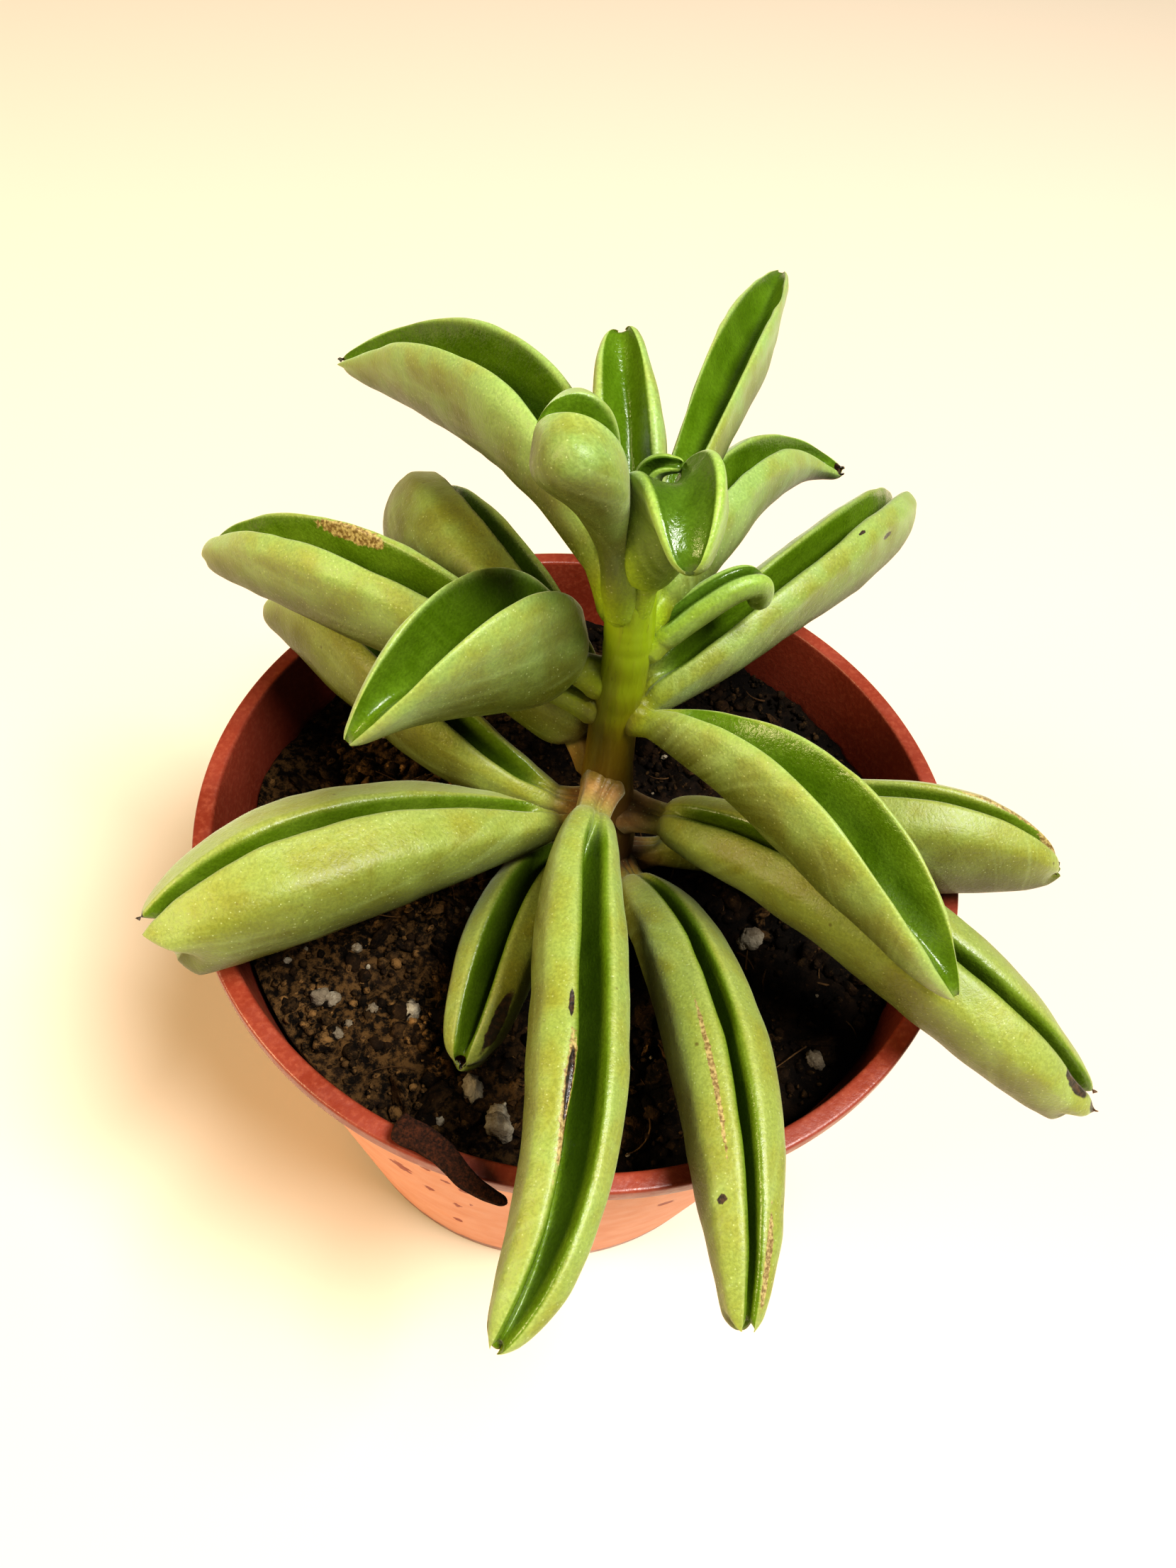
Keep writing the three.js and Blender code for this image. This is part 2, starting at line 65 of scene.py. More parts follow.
# Places on the pot where its chalky film, and the sunlight painted with it, is missing: heading, height, half
# width, half height.
POT_SPOTS = (
    (-112.4, 60, 2.6, 3.6), (-108, 52, 1.2, 2.5), (-103.3, 67.5, 1.1, 1.4), (-106.3, 72, 1.0, 1.6),
    (-100.2, 64.8, 1.2, 2.2), (-99.6, 53, 0.5, 4.0), (-102.9, 46.6, 1.1, 2.6), (-104.4, 27.6, 1.2, 3.0),
    (-66.3, 58.4, 2.0, 2.2), (-140, 40, 1.5, 2.0), (-35, 52, 1.6, 2.4), (70, 45, 2.0, 3.0),
    (150, 60, 1.4, 2.2),
)
POT_WET = (-109.5, 84, 5.5, 4.5)  # the patch under the lip that is still clean, so without the film's painted sunlight

# Soil.
SOIL_TOP = POT_HEIGHT - 12.5
SOIL_LUMP = 1.5  # height of the lumps; clods are half as high
SOIL_LUMP_SIZE = 9
SOIL_CLOD_SIZE = 4
SOIL_MOUND = 1.6  # height of the mound round the stem
SOIL_MOUND_REACH = 16
SOIL_EDGE_GAP = 0.7
SOIL_SEED = 7
SOIL_RELIEF = ((5.5, 1.6, 14), (2.6, 1.3, 11), (1.3, 0.9, 12), (0.7, 0.45, 13))  # width, height, seed
SOIL_RINGS = 120
SOIL_SIDES = 360
PAINTED_SUN_LOW, PAINTED_SUN_HIGH = -8, 32  # how far to the left the soil's painted sunlight starts, and where it is full
CRUMBS = 4200
LUMPS = 700
CHIPS = 110
FIBRES = 70
GRIT = 60
# Grains of white grit that the photograph shows: place on the soil and half size.
GRIT_SEEN = (
    (-11.1, 29, 1.2), (9.6, 51, 1.6), (12.9, 44.7, 2.2), (10.5, 48, 1.8), (14.5, 47, 1.4), (29.7, -11.5, 1.7),
    (28.2, -12.6, 0.9), (-5.5, -48.2, 1.9), (-6.3, -46.2, 1.3), (-14.2, -48.1, 0.8), (-10.6, -42.6, 1.7),
    (-35.5, -32, 1.5), (-33.6, -32.2, 1.1), (-27.2, -33.1, 0.8), (-21.5, -32.4, 1.4), (-31.5, -37.5, 0.9),
    (-20.5, 13.8, 1.2), (-38.5, 24.5, 1.2), (39.5, -31, 1.5), (-30, -36, 0.7),
)

# Stem.
STEM_FOOT = (4.6, -4.0)
STEM_LINE = ((50, 5), (78.5, 4.6), (93, 4.2), (110, 2.4), (121, 2.2), (132, 2.6), (146, 1.8))  # height, x
STEM_BURIED = 28
STEM_TOP = 145
STEM_RADIUS = 4.2
STEM_TOP_RADIUS = 3
STEM_CROWN = 2.5  # length over which its top is rounded
STEM_RINGS = 300
STEM_SIDES = 72
NODE_SWELL = 0.15  # how much thicker the stem is at a leaf
NODE_SPREAD = 2.2

# Bark splinter on the rim.
BARK_FOOT = np.array([-18.5, -54.8, 93.1])
BARK_TIP = np.array([-2.6, -62.6, 92.4])
BARK_RADIUS = 1.7
BARK_TAPER = 0.7  # share of its thickness that is gone at the tip
BARK_FLAT = 0.55  # thickness as a share of width
BARK_RINGS = 90
BARK_SIDES = 40

# Leaves, from the top of the stem down, by the same rule as the solids. node: height on the stem.
# out and end: heading and rise in degrees at the stem and at the tip. roll: lean of the fold there.
# half, deep, gap: half width, depth and half opening of the fold. peak and blunt: its outline.
# Where a leaf doesn't say, petiole, the stalk's share of its length, and these hold: stalk is the stalk's
# half width, margin how thick the fold's edges are, pull how straight its line leaves and ends, channel how
# much of the depth is open, start how far from the stem's axis its line starts, cut where its outline ends.
# At the tip, bite is how far the middle of the end is drawn in, hook how far the keel's end reaches out, lip
# how far the margins' ends do, and split how much farther the left lobe reaches, in millimetres.
# rot and scar are its marks: share of the length, place round the section (0 the keel, 0.25 the left margin,
# 0.5 the channel's bed, 0.75 the right margin), and half length and half width in millimetres.
LEAF_USUAL = dict(petiole=0.08, stalk=2.2, margin=2.4, pull=0.36, channel=0.72, start=3.3, cut=1,
                  bite=0, hook=0, lip=0, split=0, rot=(), scar=())
LEAVES = {
    "leaf_young_inner": dict(
        node=143.5, out=(40, 84), tip=(5.5, 1, 158.5), end=(-10, 0), roll=(0, 0),
        half=1.8, deep=3.6, gap=0.6, peak=0.8, blunt=0.6, petiole=0.1, stalk=1.2, margin=1.2, pull=0.45),
    "leaf_young_cup": dict(
        node=141, out=(-50, 86), tip=(7.6, -16.5, 158.6), end=(-88, -20), roll=(8, -5),
        half=4.7, deep=9.2, gap=3.4, peak=0.8, blunt=0.45, petiole=0.14, stalk=1.9, margin=1.8, pull=0.7,
        start=1.6, channel=0.28),
    "leaf_top_front": dict(
        node=141.5, out=(-125, 72), tip=(-10.9, -5.5, 165.5), end=(176, 14), roll=(0, 50),
        half=8.4, deep=10, gap=2.6, peak=2.8, blunt=0.65, petiole=0.25, stalk=1.8, margin=1.4, pull=0.3,
        start=2.3),
    "leaf_top_back": dict(
        node=142.5, out=(98, 62), tip=(-3.5, 22.5, 160.5), end=(103, 21), roll=(7, 16),
        half=4.1, deep=8.2, gap=2.4, peak=0.81, blunt=0.42, petiole=0.1, stalk=1.9, margin=1.6,
        channel=0.4),
    "leaf_upper_left": dict(
        node=138.5, out=(134, 49), tip=(-45.5, 45.5, 134), end=(165, -14), roll=(-24, 32),
        half=6.2, deep=14.8, gap=3.9, peak=1.05, blunt=0.88, margin=1.5, lip=1.0,
        rot=((1.0, 0.75, 0.8, 0.8),)),
    "leaf_upper_back": dict(
        node=140, out=(67, 50), tip=(18.5, 67.5, 146), end=(79, 0), roll=(18, -4),
        half=3.6, deep=8.8, gap=2.6, peak=1.2, blunt=0.87, stalk=2, margin=1.1, channel=0.55),
    "leaf_upper_right": dict(
        node=136.5, out=(42, 48), tip=(30.5, 36, 134.5), end=(2, -10), roll=(28, -50),
        half=4.4, deep=10, gap=1.8, peak=0.73, blunt=0.86, stalk=2, margin=1.2, channel=0.6,
        rot=((0.99, 0.5, 1.4, 1.2),)),
    "leaf_young_hook": dict(
        node=133.5, out=(14, 50), tip=(18, 3, 137), end=(20, -90), roll=(0, 0),
        half=2.2, deep=4, gap=0.6, peak=0.8, blunt=0.5, stalk=1.6, margin=1.4, pull=0.62, cut=0.97),
    "leaf_left_front": dict(
        node=126.5, out=(180, 32), tip=(-28.5, -25, 133), end=(-133, -27), roll=(-57, 2),
        half=6, deep=17.8, gap=3.7, peak=0.7, blunt=0.93, petiole=0.1, margin=1.5),
    "leaf_right_back": dict(
        node=120.5, out=(32, 29), tip=(44.5, 50, 116.5), end=(75, -35), roll=(-10, 17),
        half=4.8, deep=12.6, gap=1.7, peak=0.94, blunt=0.55, petiole=0.03, stalk=2.6, margin=1.8, cut=0.97,
        bite=0.5, lip=0.3, split=-1.5,
        rot=((0.97, 0.72, 2.2, 0.6), (0.62, 0.84, 1.5, 0.5), (0.9, 0.78, 1.2, 0.4),
             (0.54, 0.775, 0.8, 0.3))),
    "leaf_left_mid": dict(
        node=121, out=(175, 16), tip=(-62, 19.5, 115), end=(156, -31), roll=(-10, -4),
        half=6.4, deep=14.3, gap=3.2, peak=1.02, blunt=0.75, margin=1.7, bite=0.6, hook=0.3,
        rot=((1.0, 0.75, 1.2, 1.5),),
        scar=((0.585, 0.7, 6.4, 1.5),)),
    "leaf_right_mid": dict(
        node=121, out=(-22, 10), tip=(49, -36, 113), end=(-41, -25), roll=(37, -8),
        half=5.8, deep=12.8, gap=4, peak=1.01, blunt=0.88, petiole=0.04, stalk=1.8, margin=1.5),
    "leaf_back_left": dict(
        node=107, out=(147, 49), tip=(-33.8, 40, 114.7), end=(93, -19), roll=(-22, -36),
        half=8.2, deep=19, gap=2.4, peak=0.93, blunt=0.47, margin=1.7),
    "leaf_front_long": dict(
        node=107, out=(-103, 6), tip=(-1.5, -81.5, 104), end=(-116, -10), roll=(21, 11),
        half=6, deep=12.4, gap=1.7, peak=0.99, blunt=0.52, stalk=2.5, margin=2.6, bite=0.8, lip=0.4,
        rot=((0.625, 0.725, 4.5, 0.6), (0.5, 0.755, 2.0, 0.4), (0.7, 0.69, 3.0, 0.5)),
        scar=((0.65, 0.72, 8.5, 1.0),)),
    "leaf_left_back_low": dict(
        node=98, out=(188, 8), tip=(-57.5, 27, 96.5), end=(149, -32), roll=(5, -25),
        half=5.4, deep=13, gap=2.5, peak=1.05, blunt=0.68, margin=1.9),
    "leaf_left_low": dict(
        node=97, out=(203, 0), tip=(-52, -37.5, 99), end=(-141, -19), roll=(-10, -13),
        half=9.5, deep=18.2, gap=1.2, peak=1.38, blunt=0.55, margin=2.6, cut=0.93,
        bite=2.6, hook=0.5, lip=0.8,
        rot=((1.0, 0.0, 1.5, 1.2), (1.0, 0.76, 0.9, 1.2))),
    "leaf_right_low": dict(
        node=99, out=(-18, 20), tip=(71.5, -38.6, 92.5), end=(-15, -36), roll=(-15, 15),
        half=6.8, deep=14.9, gap=1, peak=1, blunt=0.49, stalk=2.4, margin=2.8, cut=0.96,
        bite=2.4, hook=0.4, lip=0.6, split=-0.6,
        rot=((0.925, 0.74, 2.8, 1.7), (0.99, 0.72, 1.6, 1.6), (1.0, 0.25, 1.2, 1.2))),
    "leaf_small_front": dict(
        node=86, out=(-143, 24), tip=(-12, -43, 86), end=(-105, -10), roll=(-30, -14),
        half=6, deep=10.5, gap=1.8, peak=0.92, blunt=0.46, margin=2.2, bite=0.6, hook=0.5,
        rot=((0.845, 0.192, 4.4, 1.1), (1.0, 0.5, 1.0, 1.4), (0.93, 0.1, 1.4, 0.7))),
    "leaf_front_right": dict(
        node=86, out=(-57, 25), tip=(27, -73.5, 94), end=(-85, -14), roll=(14, 16),
        half=6.7, deep=13.6, gap=1, peak=0.88, blunt=0.7, margin=2.8, cut=0.97, bite=0.9, hook=0.4, lip=0.5,
        rot=((0.82, 0.812, 0.7, 0.7),),
        scar=((0.62, 0.785, 12.0, 0.4), (0.9, 0.23, 6.0, 0.6))),
    "leaf_right_back_low": dict(
        node=85, out=(5, 22), tip=(71.5, -4.8, 99), end=(0, -11), roll=(18, 12),
        half=6.2, deep=19, gap=1.2, peak=1.25, blunt=0.65, margin=1.8, bite=0.8, hook=1.0,
        rot=((1.0, 0.45, 1.6, 1.6),),
        scar=((0.84, 0.24, 9.0, 0.9), (0.96, 0.3, 3.0, 1.4))),
}
LEAF_YOUNG_AT = 143  # height on the stem of leaves that still look fresh
LEAF_OLD_AT = 95  # and of those that look old
LEAF_TIP_REACH = 7  # how far back from its end a tip's shape goes
LEAF_TIP_RADIUS = 0.8
LEAF_BELLY = 0.58  # height on the fold where it is widest, as a share of its depth
LEAF_BELOW = 0.4  # share of the depth that is under the leaf's line
LEAF_OPENS = 0.1  # share of the length over which the channel opens past the stalk
LEAF_RIM = 0.94  # height at which the inside of the fold starts
LEAF_HEIGHTS = (0, 0.035, 0.1, 0.2, 0.3, 0.44, LEAF_BELLY, 0.72, 0.86)
LEAF_EDGE = 0.1  # width of the pale edge and its painted highlight, as a share of a wall
LEAF_STEPS = 104
LEAF_WALL_POINTS = 20  # points up the outside of one lobe, and as many down its inside
LEAF_ROOT = 2.4  # how far the leaf reaches back into the stem
LEAF_ROOT_TAPER = 0.55  # how much it narrows there
STALK_FILLET = 0.9  # how much the leaf swells where it leaves the stem
STALK_FILLET_REACH = 1.9  # and how fast that fades away from the stem
STALK_SWELL_END = 11  # how far along the leaf it may go
STALK_GROOVE = 0.03  # depth of the groove on a stalk as a share of the stalk's
LEAF_TIP_ROUND = 1.3  # length over which the tip is rounded


# Small numbers.

def lerp(a, b, t):
    return a + (b - a) * t


def smoothstep(x, low, high):
    t = np.clip((x - low) / (high - low), 0, 1)
    return t * t * (3 - 2 * t)


def bell(x):
    return np.exp(-(x ** 2))


def unit(v):
    return v / np.linalg.norm(v)


def chance(i, j, seed):
    """A repeatable number from 0 to 1 for a whole-number place on a grid."""
    wave = np.sin(i * 127.1 + j * 311.7 + seed * 74.7) * 43758.5453
    return wave - np.floor(wave)


def cell_noise(i, j, u, v, seed):
    """The four corners of a cell of the grid, blended at u and v."""
    low = lerp(chance(i, j, seed), chance(i + 1, j, seed), u)
    high = lerp(chance(i, j + 1, seed), chance(i + 1, j + 1, seed), u)
    return lerp(low, high, v)


def noise(x, y, seed):
    """Smooth noise from 0 to 1 over the plane."""
    i, j = np.floor(x), np.floor(y)
    return cell_noise(i, j, smoothstep(x - i, 0, 1), smoothstep(y - j, 0, 1), seed)


def noise3(points, seed):
    """Smooth noise from -1 to 1 in space."""
    cell = np.floor(points)
    x, y, z = cell.T
    u, v, w = smoothstep(points - cell, 0, 1).T
    low, high = (cell_noise(x, y + 57 * level, u, v, seed) for level in (z, z + 1))
    return 2 * lerp(low, high, w) - 1


def turns(count):
    """Angles evenly spaced round a circle."""
    return np.arange(count) / count * 2 * math.pi


def heading(turn, rise):
    a, e = math.radians(turn), math.radians(rise)
    return np.array([math.cos(e) * math.cos(a), math.cos(e) * math.sin(a), math.sin(e)])


def turned(v, axis, degrees):
    """v turned about a unit axis."""
    a = math.radians(degrees)
    return v * math.cos(a) + np.cross(axis, v) * math.sin(a) + axis * (axis @ v) * (1 - math.cos(a))


# Meshes.

def new_mesh(name, points, faces):
    """A mesh in metres from points in millimetres."""
    mesh = bpy.data.meshes.new(name)
    mesh.from_pydata((np.asarray(points) * MM).tolist(), [], [list(map(int, f)) for f in faces])
    return mesh


def new_object(name, data):
    made = bpy.data.objects.new(name, data)
    bpy.context.scene.collection.objects.link(made)
    return made


def write_fields(mesh, fields):
    """Writes the numbers per point that a material reads."""
    for field, values in fields.items():
        layer = mesh.attributes.new(field, "FLOAT", "POINT")
        layer.data.foreach_set("value", np.asarray(values, np.float32).ravel())


def make_piece(name, points, faces, replaced=None, fields=None):
    """A smooth piece that rides on the body and may stand for a node of the frame."""
    mesh = new_mesh(name, points, faces)
    mesh.shade_smooth()
    write_fields(mesh, fields or {})
    piece = new_object(name, mesh)
    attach(piece, "root")
    if replaced:
        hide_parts(replaced)
    return piece


def tube_faces(rings, count):
    """Quads between rings of points, each ring closed."""
    i = np.arange(rings - 1)[:, None] * count
    j = np.arange(count)[None, :]
    after = (j + 1) % count
    quads = np.stack([i + j, i + after, i + count + after, i + count + j], -1)
    return quads.reshape(-1, 4).tolist()


def closed_tube(rings, count):
    """The same with a lid on each end."""
    last = (rings - 1) * count
    return tube_faces(rings, count) + [list(range(count))[::-1], list(range(last, last + count))]


def grid_normals(grid):
    """Outward normals of a closed skin given as rings of points."""
    across = np.roll(grid, -1, 1) - np.roll(grid, 1, 1)
    along = np.gradient(grid, axis=0)
    normal = np.cross(across, along)
    return normal / np.maximum(np.linalg.norm(normal, axis=-1, keepdims=True), 1e-9)


def smooth_curve(points, steps):
    """Catmull-Rom curve through points, from the second to the last but one."""
    out = []
    for k in range(1, len(points) - 2):
        a, b, c, d = points[k - 1:k + 3]
        for t in np.arange(steps) / steps:
            out.append(0.5 * (2 * b + (c - a) * t + (2 * a - 5 * b + 4 * c - d) * t * t
                              + (3 * b - a - 3 * c + d) * t ** 3))
    out.append(points[-2])
    return np.array(out)


def spaced(curve, shares):
    """Points on a curve at shares of its length."""
    steps = np.linalg.norm(np.diff(curve, axis=0), axis=1)
    run = np.concatenate([[0], np.cumsum(steps)])
    return np.stack([np.interp(shares * run[-1], run, curve[:, k]) for k in range(curve.shape[1])], -1)


# Stem.

NODE_HEIGHTS = np.array([leaf["node"] for leaf in LEAVES.values()])


def stem_axis(z):
    above = next(k for k, (height, _) in enumerate(STEM_LINE) if height > z)
    (low, start), (high, end) = STEM_LINE[above - 1:above + 1]
    return np.array([lerp(start, end, smoothstep(z, low, high)), STEM_FOOT[1], z])


def stem_radius(z):
    t = smoothstep(z, SOIL_TOP, STEM_TOP)
    swell = bell((z - NODE_HEIGHTS) / NODE_SPREAD).max()
    return lerp(STEM_RADIUS, STEM_TOP_RADIUS, t) + NODE_SWELL * swell


def make_stem():
    angle = turns(STEM_SIDES)
    rings = []
    for z in np.linspace(SOIL_TOP - STEM_BURIED, STEM_TOP, STEM_RINGS):
        up = max(0, (z - STEM_TOP + STEM_CROWN) / STEM_CROWN)
        radius = stem_radius(z) * max(0.12, math.sqrt(1 - up ** 2))
        rings.append(stem_axis(z) + radius * np.stack([np.cos(angle), np.sin(angle), 0 * angle], -1))
    grid = np.array(rings)
    flat = grid.reshape(-1, 3)
    normal = grid_normals(grid).reshape(-1, 3)
    bumps = 0.16 * noise3(flat * [0.2, 0.2, 0.1], 21) + 0.05 * noise3(flat * [1.6, 1.6, 0.35], 22)
    fade = smoothstep(STEM_TOP - flat[:, 2], 0, 3)
    flat = flat + normal * (bumps * fade)[:, None]
    return make_piece("stem_skin", flat, closed_tube(STEM_RINGS, STEM_SIDES), "stem")


# Leaves.

def leaf_line(leaf):
    """Control points of the line that a leaf follows."""
    start = stem_axis(leaf["node"]) + heading(leaf["out"][0], 0) * leaf["start"]
    end = np.array(leaf["tip"], float)
    reach = leaf["pull"] * np.linalg.norm(end - start)
    return start, start + heading(*leaf["out"]) * reach, end - heading(*leaf["end"]) * reach, end


def line_point(line, t):
    a, b, c, d = line
    s = 1 - t
    return s ** 3 * a + 3 * s * s * t * b + 3 * s * t * t * c + t ** 3 * d


def line_tangent(line, t):
    a, b, c, d = line
    s = 1 - t
    return unit(3 * s * s * (b - a) + 6 * s * t * (c - b) + 3 * t * t * (d - c))


def fullness(share, leaf):
    """How full the leaf is at a share of its length: 0 on its stalk, 1 where it is widest."""
    stalk = leaf["petiole"]
    along = np.clip((share - stalk) / (1 - stalk) * leaf["cut"], 0, 1)
    return max(0, 1 - (2 * along ** leaf["peak"] - 1) ** 2) ** leaf["blunt"]


def fold_section(share, leaf):
    """One lobe of the fold: points up its outside from the keel to the margin's top, and as many up its
    inside from the channel's bed, which pair with them across the wall."""
    full = fullness(share, leaf)
    stalk = lerp(leaf["stalk"], LEAF_TIP_RADIUS, share)
    half = lerp(stalk, leaf["half"], full)
    deep = lerp(2 * stalk, leaf["deep"], full)
    margin = lerp(0.7 * stalk, leaf["margin"], full)
    opened = full * smoothstep(share, leaf["petiole"], leaf["petiole"] + LEAF_OPENS)
    gap = lerp(0.15 * stalk, leaf["gap"], opened)
    bed = 1 - lerp(STALK_GROOVE, leaf["channel"], opened)
    edge = gap + margin

    def outside(y):
        if y < LEAF_BELLY:
            return half * math.sqrt(1 - (1 - y / LEAF_BELLY) ** 2)
        return edge + (half - edge) * math.sqrt(max(0, 1 - ((y - LEAF_BELLY) / (1 - LEAF_BELLY)) ** 2))

    lobe = [(outside(y), y) for y in LEAF_HEIGHTS]
    lobe += [(gap + 0.72 * margin, 0.985), (gap + 0.3 * margin, 1), (gap, LEAF_RIM)]
    lobe += [(0.58 * gap, lerp(bed, LEAF_RIM, 0.4)), (0, bed)]
    lobe = np.array([(x, (y - LEAF_BELOW) * deep) for x, y in lobe])
    mirror = lobe * [-1, 1]
    curve = smooth_curve(np.vstack([mirror[1], lobe, mirror[-2]]), 8)
    top = int(np.argmax(curve[:, 1]))
    shares = 1 - (1 - np.linspace(0, 1, LEAF_WALL_POINTS + 1)) ** 1.35
    return spaced(curve[:top + 1], shares), spaced(curve[top:][::-1], shares)


def fold_ring(share, leaf, closing):
    """The closed outline, once round; closing goes to 0 where the tip is rounded off."""
    outer, inner = fold_section(share, leaf)
    middle = (outer + inner) / 2
    outer = middle + (outer - middle) * closing
    inner = middle + (inner - middle) * closing
    right = np.vstack([outer, inner[:-1][::-1]])
    left = (right[1:-1] * [-1, 1])[::-1]
    return np.vstack([right, left])


def leaf_shares(length):
    """Places along a leaf, closer together where its tip is rounded, and how closed each is."""
    root = -LEAF_ROOT / length * np.array([1, 0.66, 0.33])
    blade = np.linspace(0, 1 - LEAF_TIP_ROUND / length, LEAF_STEPS)
    turn = np.linspace(0, math.pi / 2, 8)[1:]
    tip = 1 - (1 - np.sin(turn)) * LEAF_TIP_ROUND / length
    shares = np.concatenate([root, blade, tip])
    closing = np.concatenate([np.ones(len(root) + len(blade)), np.maximum(np.cos(turn), 0.12)])
    return shares, closing


def tip_reach(ring, share, length, leaf):
    """How far each point of a ring reaches past it, in millimetres, near the leaf's end."""
    near = smoothstep(share * length, length - LEAF_TIP_REACH, length)
    height = (ring[:, 1] - ring[:, 1].min()) / np.ptp(ring[:, 1])
    reach = leaf["hook"] * bell(height / 0.2) + leaf["lip"] * bell((1 - height) / 0.14)
    reach = reach - leaf["bite"] * bell((height - 0.55) / 0.26)
    return near * (reach + leaf["split"] * np.tanh(2 * ring[:, 0]) / 2)


def leaf_grid(leaf):
    """Rings of points of a leaf, its shares along, and its length in millimetres."""
    line = leaf_line(leaf)
    path = np.array([line_point(line, t) for t in np.linspace(0, 1, 60)])
    length = np.linalg.norm(np.diff(path, axis=0), axis=1).sum()
    shares, closing = leaf_shares(length)
    side = heading(leaf["out"][0] + 90, 0)
    rings = []
    for share, close in zip(shares, closing):
        inside = max(share, 0)
        centre = line_point(line, inside)
        along = line_tangent(line, inside)
        centre = centre + along * (share - inside) * length
        side = unit(side - along * (side @ along))
        left = turned(side, along, -lerp(*leaf["roll"], inside))
        up = np.cross(along, left)
        buried = (inside - share) * length / LEAF_ROOT
        ring = fold_ring(inside, leaf, close) * (1 - LEAF_ROOT_TAPER * buried)
        reach = tip_reach(ring, inside, length, leaf)
        rings.append(centre + ring[:, :1] * left + ring[:, 1:] * up + reach[:, None] * along)
    return filleted(np.array(rings), shares * length, leaf["out"][1]), shares, length


def stem_distance(grid):
    """How far each point is from the stem's surface, in millimetres."""
    levels = np.linspace(STEM_LINE[0][0], STEM_TOP, 200)
    axis = np.interp(grid[..., 2], levels, [stem_axis(z)[0] for z in levels])
    radius = np.interp(grid[..., 2], levels, [stem_radius(z) for z in levels])
    away = np.hypot(grid[..., 0] - axis, grid[..., 1] - STEM_FOOT[1]) - radius
    return np.maximum(away, 0)


def filleted(grid, run, rise):
    """Swells a leaf where it leaves the stem, so that the two run into each other."""
    swell = STALK_FILLET * np.exp(-stem_distance(grid) / STALK_FILLET_REACH)
    swell *= smoothstep(STALK_SWELL_END - run, 0, 4)[:, None]
    swell *= min(1, 1.3 * math.cos(math.radians(rise)))
    outward = grid - grid.mean(1, keepdims=True)
    outward /= np.linalg.norm(outward, axis=-1, keepdims=True)
    return grid + swell[..., None] * outward


def leaf_fields(leaf, grid, shares, length):
    """What the leaf's material reads: where each point is along, round and inside the fold."""
    n = LEAF_WALL_POINTS
    step = np.arange(grid.shape[1])
    right = np.where(step <= 2 * n, step, 4 * n - step)
    outer = right <= n
    wall = np.where(outer, 1 - right / n, (right - n) / n)
    inner = np.where(outer, 0, smoothstep(wall, 0.04, 0.2))
    along = np.repeat(shares[:, None], grid.shape[1], 1)
    ones = np.ones_like(along)
    gaps = np.linalg.norm(np.diff(np.concatenate([grid, grid[:, :1]], 1), axis=1), axis=-1)
    around = np.concatenate([np.zeros((len(grid), 1)), np.cumsum(gaps, 1)[:, :-1]], 1)
    whole = around[:, -1:] + gaps[:, -1:]

    def marks(places):
        near = 0 * ones
        for share, place, half_length, half_width in places:
            middle = around[:, [round(place * grid.shape[1]) % grid.shape[1]]]
            apart = np.abs(around - middle)
            apart = np.minimum(apart, whole - apart)
            spread = ((along - share) * length / half_length) ** 2 + (apart / half_width) ** 2
            near = np.maximum(near, np.exp(-spread))
        return near

    petiole = leaf["petiole"]
    opens = smoothstep(along, petiole, petiole + 0.9 * LEAF_OPENS)
    age = np.clip((LEAF_YOUNG_AT - leaf["node"]) / (LEAF_YOUNG_AT - LEAF_OLD_AT), 0, 1)
    return {
        "scar": marks(leaf["scar"]),
        "rot": marks(leaf["rot"]),
        "age": age * ones,
        "stalk": 1 - smoothstep(along, petiole * 0.3, petiole + 0.06),
        "run": along * length,
        "away": stem_distance(grid),
        "around": around,
        "inner": inner * opens,
        # the fold's pale edge, with a painted highlight on its rounding
        "rim": bell(wall / LEAF_EDGE) * opens,
        # how far down the outside towards the keel, where shade is painted
        "low": np.where(outer, wall, 0) * ones,
    }


def leaf_faces(rings):
    """Quads over the leaf, with caps made of quads across the wall."""
    n = LEAF_WALL_POINTS
    count = 4 * n
    faces = tube_faces(rings, count)
    last = (rings - 1) * count

    def cap(base, flip):
        out = []
        for k in range(n):
            right = [k, k + 1, 2 * n - k - 1, 2 * n - k]
            left = [(count - k) % count, 2 * n + k, 2 * n + k + 1, count - k - 1]
            for quad in (right, left):
                quad = list(dict.fromkeys(quad))
                out.append([base + q for q in (quad[::-1] if flip else quad)])
        return out

    return faces + cap(0, True) + cap(last, False)


def make_leaf(name, order):
    leaf = {**LEAF_USUAL, **LEAVES[name]}
    grid, shares, length = leaf_grid(leaf)
    fields = leaf_fields(leaf, grid, shares, length)
    flat = grid.reshape(-1, 3)
    normal = grid_normals(grid).reshape(-1, 3)
    along = np.repeat(shares, grid.shape[1])
    waves = 0.3 * noise3(flat / 8.5, 30 + order) + 0.1 * noise3(flat / 3.2, 60 + order)
    waves *= smoothstep(along, 0.08, 0.2) * smoothstep(1 - along, 0.0, 0.06)
    waves -= 0.35 * fields["rot"].ravel() + 0.15 * fields["scar"].ravel()
    flat = flat + normal * waves[:, None]
    return make_piece(name + "_skin", flat, leaf_faces(len(grid)), name, fields)


# Soil.

def soil_height(x, y):
    lumps = noise(x / SOIL_LUMP_SIZE, y / SOIL_LUMP_SIZE, SOIL_SEED) - 0.5
    clods = noise(x / SOIL_CLOD_SIZE, y / SOIL_CLOD_SIZE, SOIL_SEED + 1) - 0.5
    away = np.hypot(x - STEM_FOOT[0], y - STEM_FOOT[1]) / SOIL_MOUND_REACH
    return SOIL_TOP + SOIL_LUMP * (lumps + clods / 2) + SOIL_MOUND * bell(away)


def soil_surface(x, y):
    """The soil's height with its fine crumb."""
    height = soil_height(x, y)
    for size, tall, seed in SOIL_RELIEF:
        height = height + tall * (noise(x / size, y / size, seed) - 0.5)
    return height


